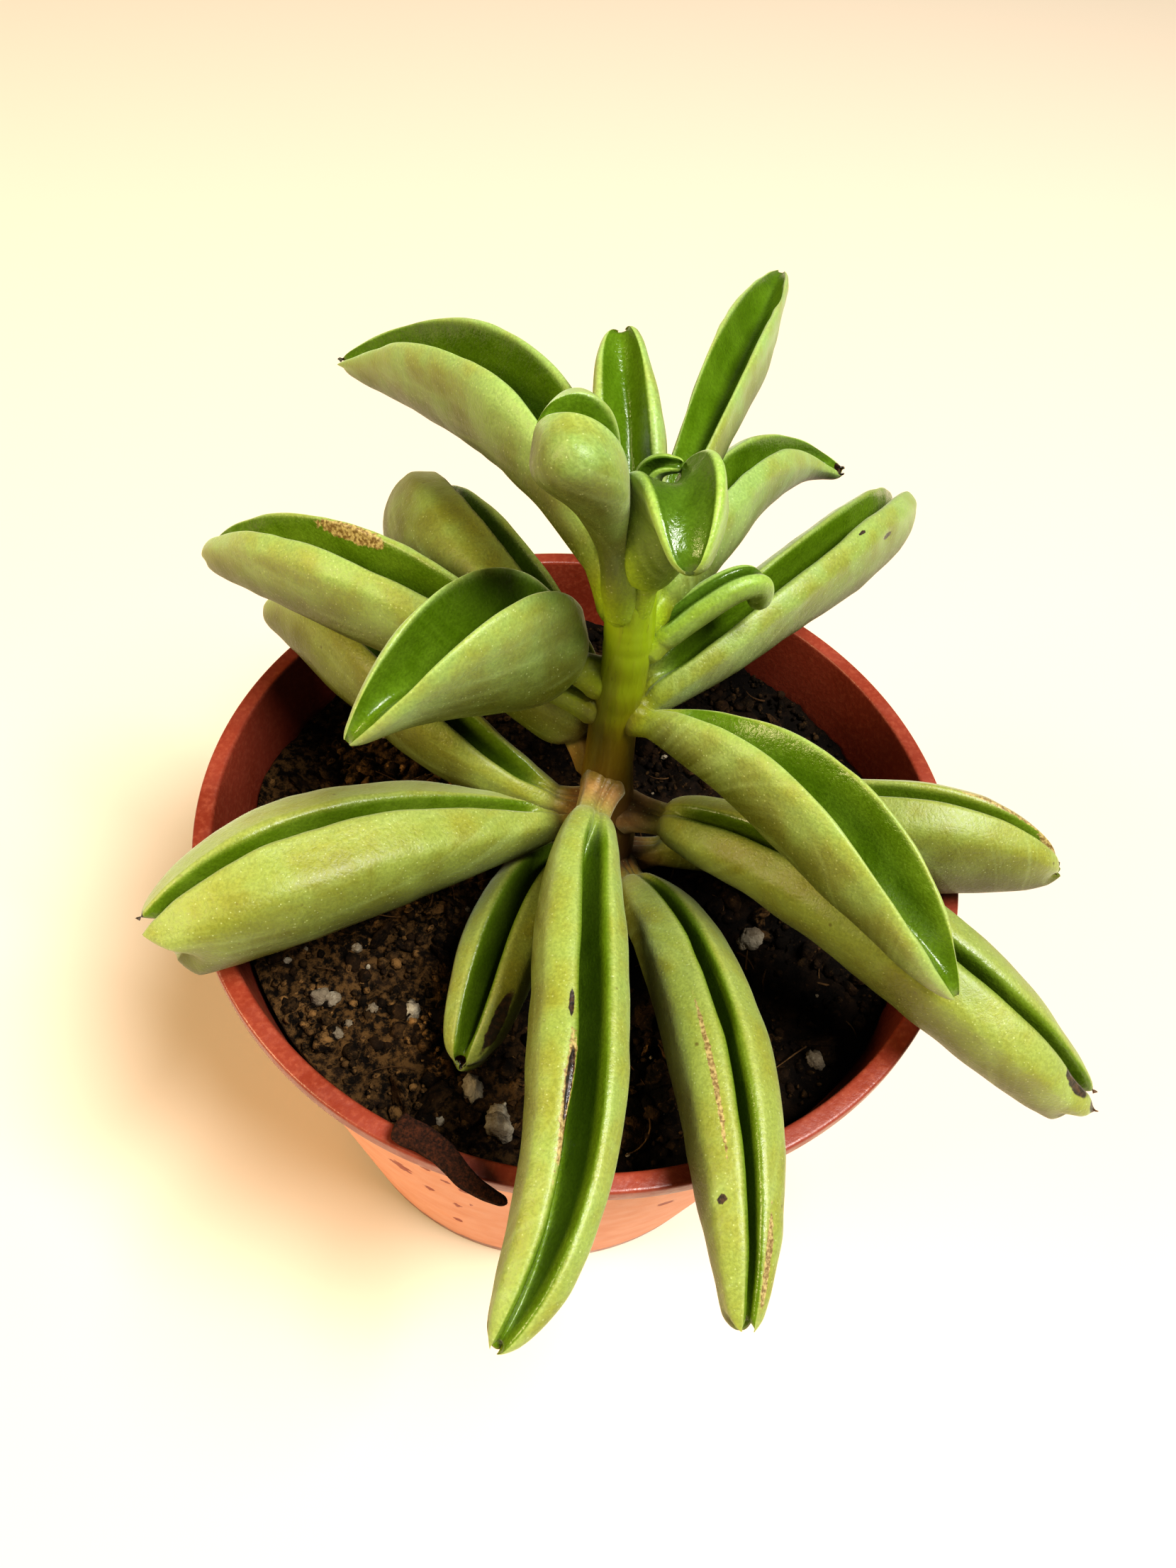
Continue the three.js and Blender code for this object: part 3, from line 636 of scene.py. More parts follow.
def pot_radius(z):
    """Outside of the pot's wall at a height."""
    return lerp(BASE_RADIUS, RIM_RADIUS - LIP_WIDTH + WALL, z / POT_HEIGHT)


SOIL_EDGE = pot_radius(SOIL_TOP) - WALL - SOIL_EDGE_GAP


def painted_sunlight(x, y):
    """Painted sunlight on the soil: 0 where it is left dark, 1 where it is painted pale brown as if lit, more
    so towards the left and in patches.
    """
    patch = noise(x / 9, y / 9, 45) - 0.5
    return smoothstep(-x + 26 * patch, PAINTED_SUN_LOW, PAINTED_SUN_HIGH)


def make_soil():
    bottom = FLOOR + 0.3
    angle = turns(SOIL_SIDES)
    radii = np.linspace(0.4, SOIL_EDGE, SOIL_RINGS)
    x = radii[:, None] * np.cos(angle)
    y = radii[:, None] * np.sin(angle)
    side = []
    for z in (SOIL_TOP - 4, bottom + 1, bottom):
        radius = pot_radius(z) - WALL - 0.4 - (0.6 if z == bottom else 0)
        side.append(np.stack([radius * np.cos(angle), radius * np.sin(angle), z + 0 * angle], -1))
    grid = np.concatenate([np.stack([x, y, soil_surface(x, y)], -1), np.array(side)])
    flat = grid.reshape(-1, 3)
    # painted sunlight: the soil is painted paler towards the left, where light falls on it
    painted_sun = 0.6 * painted_sunlight(flat[:, 0], flat[:, 1])
    return make_piece("soil_bed", flat, closed_tube(len(grid), SOIL_SIDES), "soil", {"tone": painted_sun})


def ball(level):
    """Points and triangles of a round pebble."""
    t = (1 + 5 ** 0.5) / 2
    points = [(-1, t, 0), (1, t, 0), (-1, -t, 0), (1, -t, 0), (0, -1, t), (0, 1, t),
              (0, -1, -t), (0, 1, -t), (t, 0, -1), (t, 0, 1), (-t, 0, -1), (-t, 0, 1)]
    points = [unit(np.array(p, float)) for p in points]
    faces = [(0, 11, 5), (0, 5, 1), (0, 1, 7), (0, 7, 10), (0, 10, 11), (1, 5, 9), (5, 11, 4),
             (11, 10, 2), (10, 7, 6), (7, 1, 8), (3, 9, 4), (3, 4, 2), (3, 2, 6), (3, 6, 8),
             (3, 8, 9), (4, 9, 5), (2, 4, 11), (6, 2, 10), (8, 6, 7), (9, 8, 1)]
    for _ in range(level):
        made = {}

        def middle(a, b):
            key = (min(a, b), max(a, b))
            if key not in made:
                points.append(unit(points[a] + points[b]))
                made[key] = len(points) - 1
            return made[key]

        faces = [new for a, b, c in faces for new in (
            (a, middle(a, b), middle(c, a)), (b, middle(b, c), middle(a, b)),
            (c, middle(c, a), middle(b, c)), (middle(a, b), middle(b, c), middle(c, a)))]
    return np.array(points), np.array(faces)


class Bits:
    """Many small bodies gathered into one mesh, each with a tone."""

    def __init__(self):
        self.points, self.faces, self.tones, self.count = [], [], [], 0

    def add(self, points, faces, tone):
        self.points.append(points)
        self.faces.extend((np.asarray(f) + self.count).tolist() for f in faces)
        self.tones.append(np.full(len(points), tone))
        self.count += len(points)

    def piece(self, name, slot):
        return make_piece(name, np.vstack(self.points), self.faces,
                          fields={"tone": np.concatenate(self.tones)})


def random_turn(random):
    """The matrix of a random turn in space."""
    w, x, y, z = unit(random.normal(size=4))
    return np.array([[1 - 2 * (y * y + z * z), 2 * (x * y - z * w), 2 * (x * z + y * w)],
                     [2 * (x * y + z * w), 1 - 2 * (x * x + z * z), 2 * (y * z - x * w)],
                     [2 * (x * z - y * w), 2 * (y * z + x * w), 1 - 2 * (x * x + y * y)]])


def pebble(random, shape, size, stretch, sink, place):
    """A rough crumb of the given half size, sunk into the soil at a place."""
    points, faces = shape
    lumpy = 1 + 0.35 * noise3(points * 1.3 + random.random(3) * 90, 41)
    rough = lumpy + 0.1 * random.normal(size=len(points))
    body = points * np.clip(rough, 0.5, 1.5)[:, None] * (size * np.array(stretch))
    body = body @ random_turn(random).T
    base = np.array([place[0], place[1], soil_height(*place)])
    return body + base + [0, 0, (0.5 - sink) * size], faces


def soil_place(random, clear):
    """A random place on the soil, clear of the pot by that much and of the stem."""
    while True:
        radius = (SOIL_EDGE - clear) * math.sqrt(random.random())
        angle = random.random() * 2 * math.pi
        x, y = radius * math.cos(angle), radius * math.sin(angle)
        if math.hypot(x - STEM_FOOT[0], y - STEM_FOOT[1]) > STEM_RADIUS + 1:
            return x, y


def strew(bits, random, shape, count, size, stretch, sink, clear, shade):
    """Adds pebbles at random places; size, stretch and shade draw their own for each."""
    for _ in range(count):
        half, drawn = size(), stretch()
        place = soil_place(random, clear)
        bits.add(*pebble(random, shape, half, drawn, sink, place), shade(*place))


def make_crumbs():
    random = np.random.default_rng(4)
    draw = random.random
    crumbs = Bits()
    # crumbs and lumps get the painted sunlight of the soil under them, scaled by a random amount
    strew(crumbs, random, ball(0), CRUMBS, lambda: 0.3 + 0.5 * draw() ** 2, lambda: 0.6 + 0.8 * draw(3),
          0.2, 0.8, lambda x, y: (0.15 + 0.75 * painted_sunlight(x, y)) * draw() ** 2)
    strew(crumbs, random, ball(1), LUMPS, lambda: 0.6 + 1.1 * draw() ** 2.5, lambda: 0.7 + 0.6 * draw(3),
          0.3, 1.8, lambda x, y: (0.1 + 0.6 * painted_sunlight(x, y)) * draw() ** 2)
    strew(crumbs, random, ball(2), CHIPS, lambda: 1.1 + 1.6 * draw() ** 2,
          lambda: (1.5, 0.7 + 0.5 * draw(), 0.35), 0.25, 4, lambda x, y: 0.05 + 0.6 * draw() ** 4)
    return crumbs.piece("soil_crumbs", "soil")


def make_grit():
    random = np.random.default_rng(8)
    draw = random.random
    grit = Bits()
    strew(grit, random, ball(2), GRIT, lambda: 0.25 + 0.5 * draw() ** 3, lambda: 0.8 + 0.4 * draw(3),
          0.1, 2, lambda x, y: draw())
    for x, y, size in GRIT_SEEN:
        grit.add(*pebble(random, ball(2), size, 0.85 + 0.3 * draw(3), 0.1, (x, y)), draw())
    return grit.piece("soil_grit", "soil")


def fibre(random, place):
    """A thin bent fibre lying on the soil, or none where the pot's wall cuts it short."""
    turn = random.random() * 360
    length = 4 + 9 * random.random()
    bend = random.normal() * 60
    steps, sides = 9, 5
    spin = turns(sides)
    x, y = place
    rings = []
    thick = 0.12 + 0.14 * random.random()
    for k in range(steps):
        share = k / (steps - 1)
        z = soil_height(x, y) + 0.35 + 0.5 * math.sin(share * math.pi)
        angle = math.radians(turn + bend * share)
        along = np.array([math.cos(angle), math.sin(angle), 0])
        side = np.array([-along[1], along[0], 0])
        size = thick * (1 - 0.6 * share)
        rings.append(np.array([x, y, z]) + size * (np.cos(spin)[:, None] * side
                                                    + np.sin(spin)[:, None] * np.array([0, 0, 1])))
        x, y = x + along[0] * length / steps, y + along[1] * length / steps
        if math.hypot(x, y) > SOIL_EDGE - 1:
            break
    if len(rings) < 3:
        return None
    return np.vstack(rings), closed_tube(len(rings), sides)


def make_fibres():
    random = np.random.default_rng(12)
    fibres = Bits()
    for _ in range(FIBRES):
        made = fibre(random, soil_place(random, 3))
        if made:
            fibres.add(*made, random.random())
    return fibres.piece("soil_fibres", "soil")


# Pot.

def rounded(corners, radii, steps=6):
    """A profile with its corners rounded."""
    out = []
    for k, (corner, radius) in enumerate(zip(corners, radii)):
        corner = np.array(corner, float)
        if radius == 0:
            out.append(corner)
            continue
        before = unit(np.array(corners[k - 1], float) - corner)
        after = unit(np.array(corners[(k + 1) % len(corners)], float) - corner)
        for t in np.linspace(0, 1, steps):
            a, b = corner + before * radius, corner + after * radius
            out.append((1 - t) ** 2 * a + 2 * t * (1 - t) * corner + t * t * b)
    return np.array(out)


def filled(profile, gap):
    """The profile with points added so that none are farther apart than gap."""
    out = [profile[0]]
    for a, b in zip(profile, profile[1:]):
        steps = max(1, math.ceil(np.linalg.norm(b - a) / gap))
        out.extend(lerp(a, b, t) for t in np.arange(1, steps + 1) / steps)
    return np.array(out)


def pot_profile():
    top = pot_radius(POT_HEIGHT)
    under = POT_HEIGHT - LIP_DEPTH
    corners = [(0.5, 0), (BASE_RADIUS, 0), (pot_radius(under), under), (RIM_RADIUS, under),
               (RIM_RADIUS, POT_HEIGHT), (top - WALL, POT_HEIGHT), (pot_radius(FLOOR) - WALL, FLOOR),
               (0.5, FLOOR)]
    radii = [0, FOOT_ROUNDING, 0.4, LIP_ROUNDING, LIP_ROUNDING, LIP_ROUNDING, 0.5, 0]
    return filled(rounded(corners, radii), 1.6)


def make_pot():
    profile = pot_profile()
    angle = turns(POT_SIDES)
    grid = np.stack([profile[:, :1] * np.cos(angle), profile[:, :1] * np.sin(angle),
                     profile[:, 1:] + 0 * angle], -1)
    faces = closed_tube(len(grid), POT_SIDES)
    pot = make_piece("pot_shell", grid.reshape(-1, 3), faces, "pot")
    cut_drains(pot)
    stain_pot(pot)
    return pot


def stain_pot(pot):
    """Writes where the pot's wall is filmed over and painted sunlit, spotted and inside."""
    place = np.empty(len(pot.data.vertices) * 3)
    pot.data.vertices.foreach_get("co", place)
    x, y, z = (place.reshape(-1, 3) / MM).T
    radius, turn = np.hypot(x, y), np.arctan2(y, x)
    middle = pot_radius(z) - WALL / 2
    outside = (radius > middle) * (z < POT_HEIGHT - LIP_DEPTH + 0.2)

    def patches(spots):
        near = np.zeros_like(x)
        for facing, height, half_width, half_height in spots:
            apart = (turn - math.radians(facing) + math.pi) % (2 * math.pi) - math.pi
            spread = (apart * radius / half_width) ** 2 + ((z - height) / half_height) ** 2
            near = np.maximum(near, np.exp(-spread))
        return near

    # the outside's pale film: partly chalky deposit, partly painted sunlight
    film_and_painted_sun = outside * smoothstep(z, 1, 9) * (1 - patches([POT_WET]))
    write_fields(pot.data, {"film_and_painted_sun": film_and_painted_sun, "spot": outside * patches(POT_SPOTS), "inside": radius < middle})


def cut_drains(pot):
    """Cuts the ring of drain holes through the floor."""
    plugs = Bits()
    spin = turns(DRAIN_SIDES)
    for k in range(DRAIN_COUNT):
        turn = (k + 0.5) / DRAIN_COUNT * 2 * math.pi
        centre = DRAIN_CIRCLE * np.array([math.cos(turn), math.sin(turn)])
        x, y = (centre + DRAIN_RADIUS * np.stack([np.cos(spin), np.sin(spin)], -1)).T
        rings = [np.stack([x, y, z + 0 * x], -1) for z in (-2.0, 4.0)]
        plugs.add(np.vstack(rings), closed_tube(2, DRAIN_SIDES), 0)
    drains = new_object("drains", new_mesh("drains", np.vstack(plugs.points), plugs.faces))
    cut = pot.modifiers.new("drains", "BOOLEAN")
    cut.object = drains
    cut.solver = "EXACT"
    done = bpy.data.meshes.new_from_object(pot.evaluated_get(bpy.context.evaluated_depsgraph_get()))
    pot.modifiers.clear()
    pot.data = done
    pot.data.shade_smooth()
    bpy.data.objects.remove(drains)


# Bark.

def make_bark():
    middle = [BARK_FOOT, lerp(BARK_FOOT, BARK_TIP, 0.35) + [0.4, 0.5, 0.2],
              lerp(BARK_FOOT, BARK_TIP, 0.7) + [-0.3, -0.4, 0.1], BARK_TIP]
    ends = [2 * middle[0] - middle[1]] + middle + [2 * middle[-1] - middle[-2]]
    line = spaced(smooth_curve(np.array(ends), 20), np.linspace(0, 1, BARK_RINGS))
    tangents = np.gradient(line, axis=0)
    side = np.cross([0, 0, 1], tangents[0])
    angle = turns(BARK_SIDES)
    across, high = np.cos(angle), np.sin(angle)
    rings = []
    for k in range(BARK_RINGS):
        share = k / (BARK_RINGS - 1)
        along = unit(tangents[k])
        side = unit(side - along * (side @ along))
        up = np.cross(along, side)
        here = share + 0 * angle
        lumps = noise(here * 9, 3 * across + 5, 31) + noise(here * 5, 3 * high + 9, 32)
        grooves = noise(here * 3, angle * 5.1, 33) * np.minimum(1, 2.2 * np.sin(angle / 2))
        rounding = math.sqrt(max(0.02, 1 - (1 - min(1, share / 0.05)) ** 2))
        rounding *= math.sqrt(max(0.02, 1 - (1 - min(1, (1 - share) / 0.06)) ** 2))
        thick = BARK_RADIUS * (1 - BARK_TAPER * share ** 1.5) * rounding
        reach = thick * (0.72 + 0.22 * lumps + 0.2 * grooves)
        rings.append(line[k] + 1.2 * (reach * across)[:, None] * side
                     + 1.2 * BARK_FLAT * (reach * high)[:, None] * up)
    return make_piece("bark_splinter", np.vstack(rings), closed_tube(BARK_RINGS, BARK_SIDES), "bark")


# Materials.

def tone(r, g, b):
    """A colour from its display values, 0 to 255."""
    def linear(c):
        c = c / 255
        return c / 12.92 if c <= 0.04045 else ((c + 0.055) / 1.055) ** 2.4
    return linear(r), linear(g), linear(b), 1.0


class Look:
    """Builds one material, a node a call. Positions are in millimetres."""

    def __init__(self, name, rough=0.5):
        self.material = bpy.data.materials.new(name)
        self.material.use_nodes = True
        self.tree = self.material.node_tree
        self.tree.nodes.clear()
        self.skin = self.node("BsdfPrincipled", {"Roughness": rough})
        self.node("OutputMaterial", {"Surface": self.skin.outputs[0]})
        place = self.node("TexCoord", {}).outputs["Object"]
        self.place = self.vector("MULTIPLY", place, (1000, 1000, 1000))

    def node(self, kind, inputs, **settings):
        made = self.tree.nodes.new("ShaderNode" + kind)
        for key, value in settings.items():
            setattr(made, key, value)
        for key, value in inputs.items():
            self.set(made.inputs[key], value)
        return made

    def set(self, socket, value):
        if isinstance(value, bpy.types.NodeSocket):
            self.tree.links.new(value, socket)
        else:
            socket.default_value = value

    def surface(self, **values):
        for key, value in values.items():
            self.set(self.skin.inputs[key.replace("_", " ")], value)

    def vector(self, kind, a, b):
        return self.node("VectorMath", {0: a, 1: b}, operation=kind).outputs[0]

    def math(self, kind, a, b, c=0.0):
        return self.node("Math", {0: a, 1: b, 2: c}, operation=kind).outputs[0]

    def times(self, a, b):
        return self.math("MULTIPLY", a, b)

    def plus(self, a, b):
        return self.math("ADD", a, b)

    def field(self, name):
        return self.node("Attribute", {}, attribute_name=name).outputs["Fac"]

    def span(self, value, low, high, to_low=0.0, to_high=1.0):
        """A soft step from to_low to to_high while value goes from low to high."""
        ends = {"From Min": low, "From Max": high, "To Min": to_low, "To Max": to_high}
        made = self.node("MapRange", {"Value": value, **ends}, clamp=True, interpolation_type="SMOOTHSTEP")
        return made.outputs[0]

    def noise(self, size, detail=3.0, rough=0.5, place=None):
        inputs = {"Vector": place or self.place, "Scale": 1 / size, "Detail": detail, "Roughness": rough}
        return self.node("TexNoise", inputs).outputs[0]

    def patches(self, low, high, most, *noise):
        """Noise turned into patches, from 0 to most."""
        return self.span(self.noise(*noise), low, high, 0.0, most)

    def wander(self, reach, *noise):
        """Noise about 0."""
        return self.times(self.math("SUBTRACT", self.noise(*noise), 0.5), reach)

    def dots(self, size, low, high, most):
        """Dots of which each cell of that size has one."""
        cells = self.node("TexVoronoi", {"Vector": self.place, "Scale": 1 / size})
        return self.span(cells.outputs["Distance"], low, high, most, 0.0)

    def blend(self, share, a, b, kind="MIX"):
        return self.node("Mix", {0: share, 6: a, 7: b}, data_type="RGBA", blend_type=kind).outputs[2]

    def ramp(self, value, stops):
        made = self.node("ValToRGB", {"Fac": value})
        band = made.color_ramp
        while len(band.elements) < len(stops):
            band.elements.new(0.5)
        for element, (place, color) in zip(band.elements, stops):
            element.position = place
            element.color = color
        return made.outputs["Color"]

    def bump(self, height, depth):
        """A bump as deep as that many millimetres."""
        return self.node("Bump", {"Height": height, "Distance": depth * MM, "Strength": 1.0}).outputs[0]


def leaf_look(name, tones):
    """Flesh of a leaf: satin and speckled outside, glossy and darker inside the fold."""
    look = Look(name)
    age, inside = look.field("age"), look.field("inner")
    outside = look.math("SUBTRACT", 1.0, inside)
    grain = look.noise(0.4, 3.0, 0.6)
    lengthwise = {"X": look.times(look.field("run"), 0.1), "Y": look.field("around"), "Z": age}
    streaks = look.noise(2.2, 3.0, 0.5, look.node("CombineXYZ", lengthwise).outputs[0])
    color = outer_color(look, tones, age, streaks)
    color = look.blend(inside, color, inner_color(look, tones, age, streaks))
    # pale edge of the fold: its own paler green and a painted highlight on the rounded margin
    edge = look.blend(age, tones["rim"], tones["old_rim"])
    color = look.blend(look.times(look.field("rim"), 0.45), color, edge)
    color = look.blend(look.field("stalk"), color, stalk_color(look, age, streaks))
    joined = look.times(look.span(look.field("away"), 0.2, 2.4, 1.0, 0.0),
                        look.span(look.field("run"), 6.0, 11.0, 1.0, 0.0))
    color = look.blend(joined, color, stem_color(look))
    color = marked(look, specked(look, color, age, outside))
    shade = look.span(grain, 0.25, 0.75, 0.82, 1.12)
    grey = look.node("CombineColor", {0: shade, 1: shade, 2: shade}).outputs[0]
    rough = look.math("MULTIPLY_ADD", inside, -0.26, 0.44)
    skin = look.math("MULTIPLY_ADD", grain, 0.6, look.noise(1.7))
    look.surface(Base_Color=look.blend(1.0, color, grey, "MULTIPLY"), Normal=look.bump(skin, 0.12))
    look.surface(Roughness=look.plus(rough, look.span(grain, 0.3, 0.7, -0.06, 0.08)))
    look.surface(Subsurface_Weight=0.12, Subsurface_Radius=(0.8, 1.0, 0.3), Subsurface_Scale=0.003)
    look.surface(Sheen_Weight=look.times(outside, look.span(look.field("low"), 0.2, 0.8, 0.3, 0.0)))
    look.surface(Sheen_Roughness=0.5, Sheen_Tint=(0.9, 1.0, 0.74, 1.0), Specular_IOR_Level=0.4)
    return look.material


def outer_color(look, tones, age, streaks):
    """Darker towards the keel: painted shade where the lobe turns down, with some darker colour of the keel's
    own; also warm patches and pale streaks.
    """
    mottle = look.noise(6.0, 4.0)
    color = look.blend(age, tones["outer"], tones["old"])
    color = look.blend(look.span(mottle, 0.36, 0.68, 0.0, 0.55), color, tones["warm"])
    # painted shade: olive to near black down towards the keel, broken up by the mottle
    keel = look.math("MULTIPLY_ADD", look.math("SUBTRACT", mottle, 0.5), 0.5, look.field("low"))
    color = look.blend(look.span(keel, 0.12, 0.8, 0.0, 0.9), color, tones["keel"])
    return look.blend(look.span(streaks, 0.45, 0.75, 0.0, 0.22), color, tones["pale"])


def inner_color(look, tones, age, streaks):
    color = look.blend(age, tones["inner"], tones["old_inner"])
    light = look.blend(age, tones["inner_light"], tones["old_inner_light"])
    color = look.blend(look.span(streaks, 0.35, 0.7, 0.0, 0.35), color, light)
    return look.blend(look.patches(0.4, 0.7, 0.6, 8.0, 2.0), color, light)


def stalk_color(look, age, streaks):
    """Yellow-green stalks, pinkish tan near the stem on old leaves."""
    pink = look.blend(look.span(streaks, 0.3, 0.7), tone(112, 78, 36), tone(146, 112, 64))
    near = look.times(look.span(look.field("run"), 4.0, 12.0, 1.0, 0.0), look.span(age, 0.45, 0.72))
    return look.blend(near, tone(124, 134, 14), pink)


def specked(look, color, age, outside):
    """Sparse brown freckles, more on old leaves, and fine pale dots."""
    freckles = look.times(look.dots(2.2, 0.05, 0.17, 1.0), look.patches(0.54, 0.64, 1.0, 5.0))
    share = look.times(freckles, look.times(look.times(age, 0.75), outside))
    color = look.blend(share, color, tone(84, 66, 18))
    pale = look.times(look.dots(0.8, 0.06, 0.18, 0.3), outside)
    return look.blend(pale, color, tone(214, 224, 168))


def marked(look, color):
    """Corky scars and dark dead patches, ragged at their edges."""
    scar = look.span(look.plus(look.field("scar"), look.wander(0.9, 0.9, 4.0, 0.65)), 0.4, 0.56)
    cork = look.blend(look.patches(0.35, 0.65, 1.0, 0.5), tone(112, 88, 46), tone(176, 156, 100))
    rot = look.span(look.plus(look.field("rot"), look.wander(0.5, 1.3)), 0.36, 0.5)
    dead = look.blend(look.patches(0.4, 0.7, 1.0, 0.8), tone(26, 13, 5), tone(66, 40, 18))
    return look.blend(rot, look.blend(scar, color, cork), dead)


GROWN_TONES = {
    "outer": tone(132, 160, 82), "old": tone(134, 146, 62), "warm": tone(136, 130, 10),
    "keel": tone(70, 74, 0), "pale": tone(166, 186, 120),
    # the keel colour is painted shade of the downturned lobe, with some darker olive of its own
    "inner": tone(70, 98, 8), "inner_light": tone(90, 120, 24),
    "old_inner": tone(82, 106, 14), "old_inner_light": tone(104, 126, 36),
    # the rim colours are the margin's paler green with a painted highlight
    "rim": tone(150, 176, 100), "old_rim": tone(142, 154, 84),
}
YOUNG_TONES = {
    # the keel colour is painted shade of the downturned lobe, with some darker olive of its own
    "outer": tone(134, 164, 64), "warm": tone(128, 148, 14), "keel": tone(80, 100, 0),
    "pale": tone(164, 188, 106), "inner": tone(64, 90, 14), "inner_light": tone(84, 114, 30),
    "rim": tone(152, 180, 98),
}
YOUNG_TONES.update(old=YOUNG_TONES["outer"], old_rim=YOUNG_TONES["rim"], old_inner=YOUNG_TONES["inner"],
                   old_inner_light=YOUNG_TONES["inner_light"])


def stem_color(look):
    """Green at the top of the stem, olive and then pinkish brown further down."""
    up = look.node("SeparateXYZ", {0: look.place}).outputs["Z"]
    level = look.span(look.plus(up, look.wander(9.0, 5.0)), SOIL_TOP, STEM_TOP)
    return look.ramp(level, [
        (0.0, tone(88, 62, 38)), (0.3, tone(98, 70, 30)), (0.45, tone(92, 70, 10)),
        (0.66, tone(94, 80, 0)), (0.84, tone(116, 126, 2)), (1.0, tone(136, 160, 18))])


def stem_look():
    look = Look("stem_flesh", 0.4)
    tall = look.vector("MULTIPLY", look.place, (1.0, 1.0, 0.15))
    streaks = look.noise(0.9, 3.0, 0.6, tall)
    color = look.blend(look.span(streaks, 0.45, 0.8, 0.0, 0.3), stem_color(look), tone(122, 106, 40))
    color = look.blend(look.patches(0.6, 0.72, 0.5, 0.6, 4.0, 0.7, tall), color, tone(70, 48, 20))
    look.surface(Base_Color=color, Normal=look.bump(streaks, 0.15), Specular_IOR_Level=0.25)
    look.surface(Subsurface_Weight=0.12, Subsurface_Radius=(1.0, 0.8, 0.2), Subsurface_Scale=0.002)
    return look.material


def soil_look(name, dark, light, pale, with_painted_sun):
    """Crumbly stuff; with painted sunlight on, the places that the soil's tone marks as lit are painted pale.
    """
    look = Look(name, 0.85)
    clods = look.noise(8.0, 5.0, 0.7)
    crumb = look.noise(0.8, 4.0, 0.7)
    color = look.blend(look.span(clods, 0.47, 0.62), tone(*dark), tone(*light))
    color = look.blend(look.span(crumb, 0.58, 0.8, 0.0, 0.3), color, tone(*pale))
    if with_painted_sun:
        # painted sunlight: lit places are painted pale
        painted_sun = look.times(look.field("tone"), look.patches(0.4, 0.62, 1.0, 1.6, 4.0, 0.7))
        color = look.blend(painted_sun, color, tone(*pale))
    look.surface(Base_Color=color, Normal=look.bump(look.plus(clods, crumb), 0.5), Specular_IOR_Level=0.1)
    return look.material


def pot_look():
    """Moulded terracotta-coloured plastic, with a pale peach film on the outside, partly dried hard water and
    partly painted sunlight, that is missing in spots.
    """
    look = Look("pot_plastic_terracotta")
    grain = look.noise(0.8, 3.0, 0.6)
    color = look.blend(look.patches(0.3, 0.7, 1.0, 18.0), tone(116, 44, 26), tone(136, 58, 40))
    color = look.blend(look.span(grain, 0.4, 0.8, 0.0, 0.2), color, tone(196, 116, 86))
    # pale peach film: dried hard water and painted sunlight in one
    film_and_painted_sun = look.plus(look.field("film_and_painted_sun"), look.wander(0.9, 2.4, 4.0, 0.6))
    film_and_painted_sun = look.span(film_and_painted_sun, 0.3, 0.62, 0.0, 0.85)
    color = look.blend(film_and_painted_sun, color, look.blend(look.noise(9.0), tone(214, 138, 100), tone(232, 168, 134)))
    spots = look.span(look.plus(look.field("spot"), look.wander(1.1, 1.6, 3.0, 0.6)), 0.5, 0.6)
    color = look.blend(spots, color, tone(142, 52, 22))
    dust = look.times(look.patches(0.7, 0.76, 0.8, 0.9, 2.0), look.patches(0.5, 0.62, 1.0, 9.0, 2.0))
    color = look.blend(look.times(dust, look.field("inside")), color, tone(62, 40, 26))
    rough = look.plus(look.span(look.noise(4.0, 4.0), 0.3, 0.75, 0.3, 0.46), look.times(film_and_painted_sun, 0.3))
    look.surface(Base_Color=color, Roughness=rough, Normal=look.bump(grain, 0.07))
    return look.material


def bark_look():
    look = Look("bark_fibre", 0.9)
    grain = look.noise(0.5, 5.0, 0.7)
    color = look.blend(look.span(grain, 0.35, 0.75), tone(22, 9, 4), tone(74, 38, 20))
    look.surface(Base_Color=color, Normal=look.bump(grain, 0.4), Specular_IOR_Level=0.2)
    return look.material


def dress(pieces, material):
    for piece in pieces:
        piece.data.materials.clear()
        piece.data.materials.append(material)


# Stage.

def make_camera():
    pitch, roll = math.radians(CAMERA_PITCH), math.radians(CAMERA_ROLL)
    forward = Vector((0, math.cos(pitch), -math.sin(pitch)))
    right0 = Vector((1, 0, 0))
    up0 = right0.cross(forward)
    right = math.cos(roll) * right0 + math.sin(roll) * up0
    up = -math.sin(roll) * right0 + math.cos(roll) * up0
    data = bpy.data.cameras.new("camera")
    data.lens = CAMERA_LENS
    data.sensor_width = CAMERA_SENSOR
    data.clip_start = 0.01
    camera = new_object("camera", data)
    turn = Matrix((right, up, -forward)).transposed().to_4x4()
    camera.matrix_world = Matrix.Translation(CAMERA_PLACE) @ turn
    bpy.context.scene.camera = camera


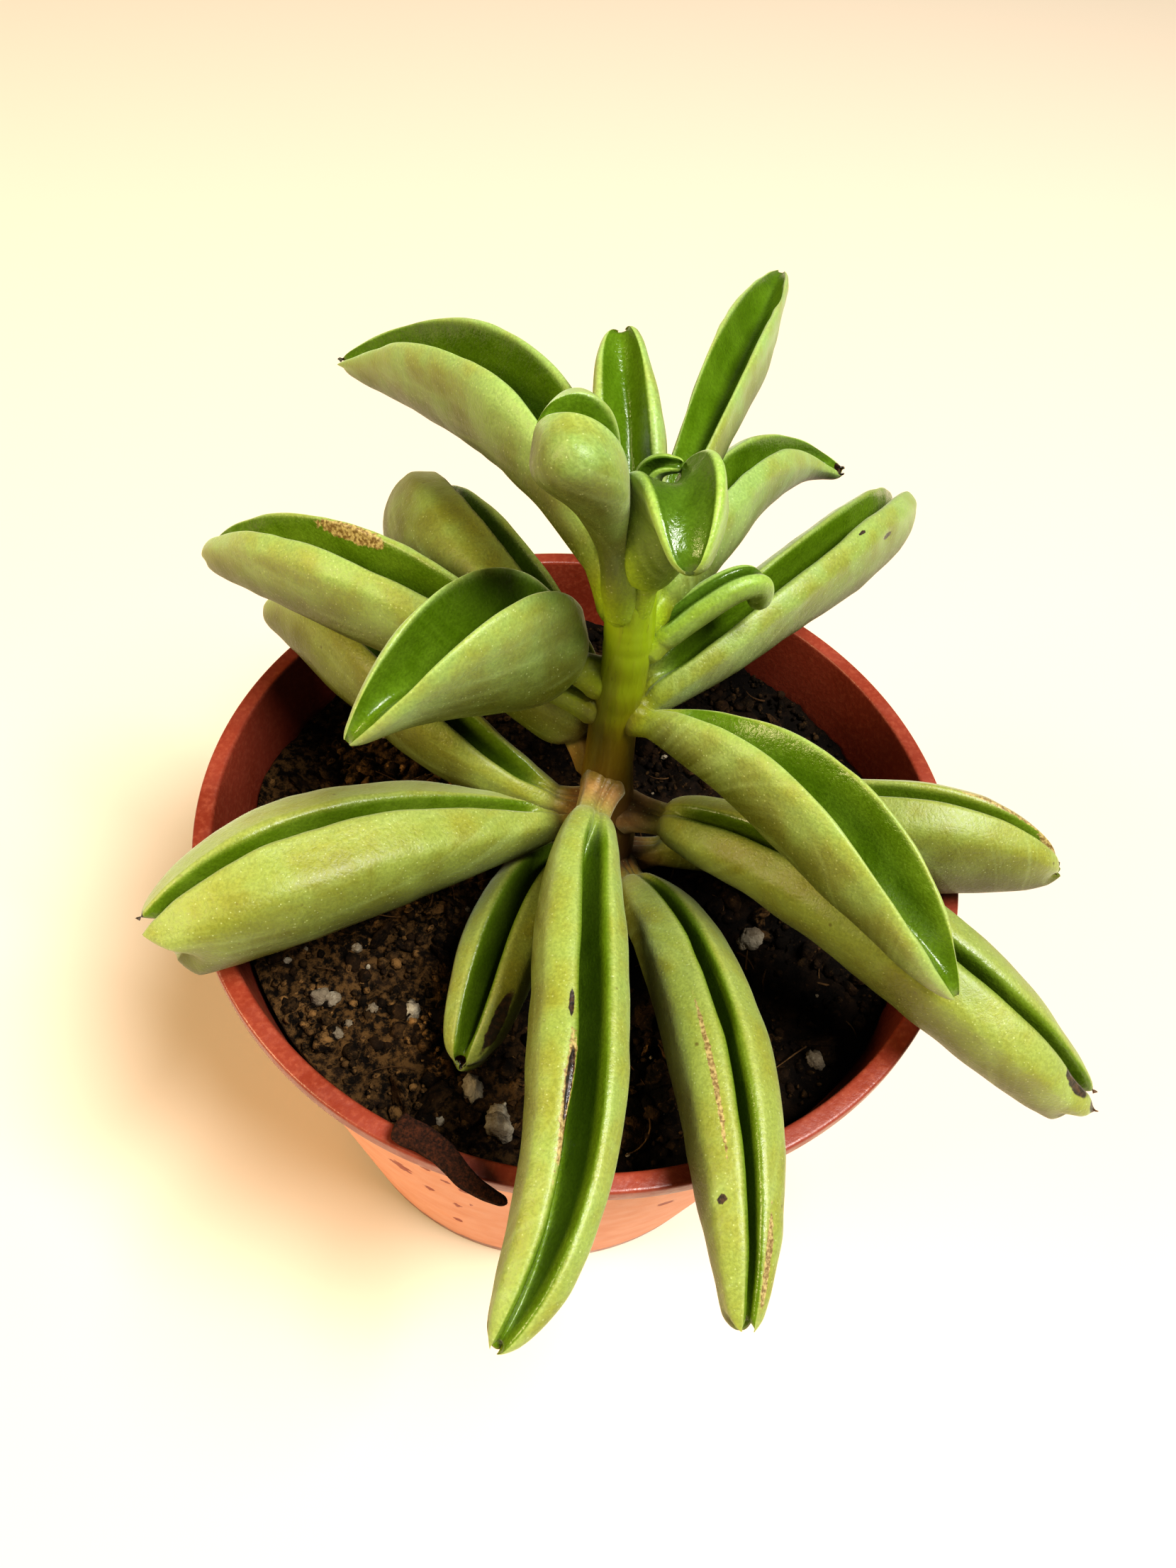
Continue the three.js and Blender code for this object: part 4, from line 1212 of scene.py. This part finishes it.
def make_floor():
    reach = 3000
    corners = [(-reach, -reach, 0), (reach, -reach, 0), (reach, reach, 0), (-reach, reach, 0)]
    floor = new_object("floor", new_mesh("floor", corners, [(0, 1, 2, 3)]))
    look = Look("floor_pale", 0.7)
    look.surface(Base_Color=tone(222, 206, 186))
    dress([floor], look.material)


def area_light(name, place, aim, size, power, color):
    data = bpy.data.lights.new(name, "AREA")
    data.shape = "DISK"
    data.size = size
    data.energy = power
    data.color = color
    light = new_object(name, data)
    light.location = place
    light.rotation_euler = (Vector(aim) - Vector(place)).to_track_quat("-Z", "Y").to_euler()
    light.visible_camera = False


def make_lights():
    scene = bpy.context.scene
    scene.view_settings.view_transform = "Standard"
    scene.view_settings.look = "Medium High Contrast"
    world = bpy.data.worlds.new("studio")
    scene.world = world
    world.use_nodes = True
    sky = world.node_tree.nodes["Background"]
    sky.inputs[0].default_value = (1.0, 0.92, 0.7, 1)
    sky.inputs[1].default_value = 0.1
    area_light("key", (0.55, -0.25, 1.35), (0, 0, 0.1), 0.6, 34.0, (1.0, 0.99, 0.97))
    area_light("warm", (-0.8, -0.35, 0.7), (0, 0, 0.08), 0.4, 9.0, (1.0, 0.8, 0.46))


def main():
    make_camera()
    make_floor()
    make_lights()
    leaves = {name: make_leaf(name, order) for order, name in enumerate(LEAVES)}
    young = [name for name in leaves if name.startswith("leaf_young")]
    dress([leaves[name] for name in leaves if name not in young], leaf_look("leaf_flesh", GROWN_TONES))
    dress([leaves[name] for name in young], leaf_look("young_leaf_flesh", YOUNG_TONES))
    dress([make_stem()], stem_look())
    # the peat and its crumbs carry the painted sunlight on the left
    for make, name, dark, light, pale, with_painted_sun in (
            (make_soil, "soil_peat", (9, 5, 2), (28, 18, 9), (104, 76, 42), True),
            (make_crumbs, "soil_crumb", (12, 7, 3), (36, 23, 11), (150, 112, 66), True),
            (make_grit, "soil_perlite", (112, 100, 82), (160, 150, 130), (190, 180, 160), False),
            (make_fibres, "soil_straw", (66, 46, 26), (96, 72, 44), (130, 100, 62), False)):
        dress([make()], soil_look(name, dark, light, pale, with_painted_sun))
    dress([make_pot()], pot_look())
    dress([make_bark()], bark_look())


main()
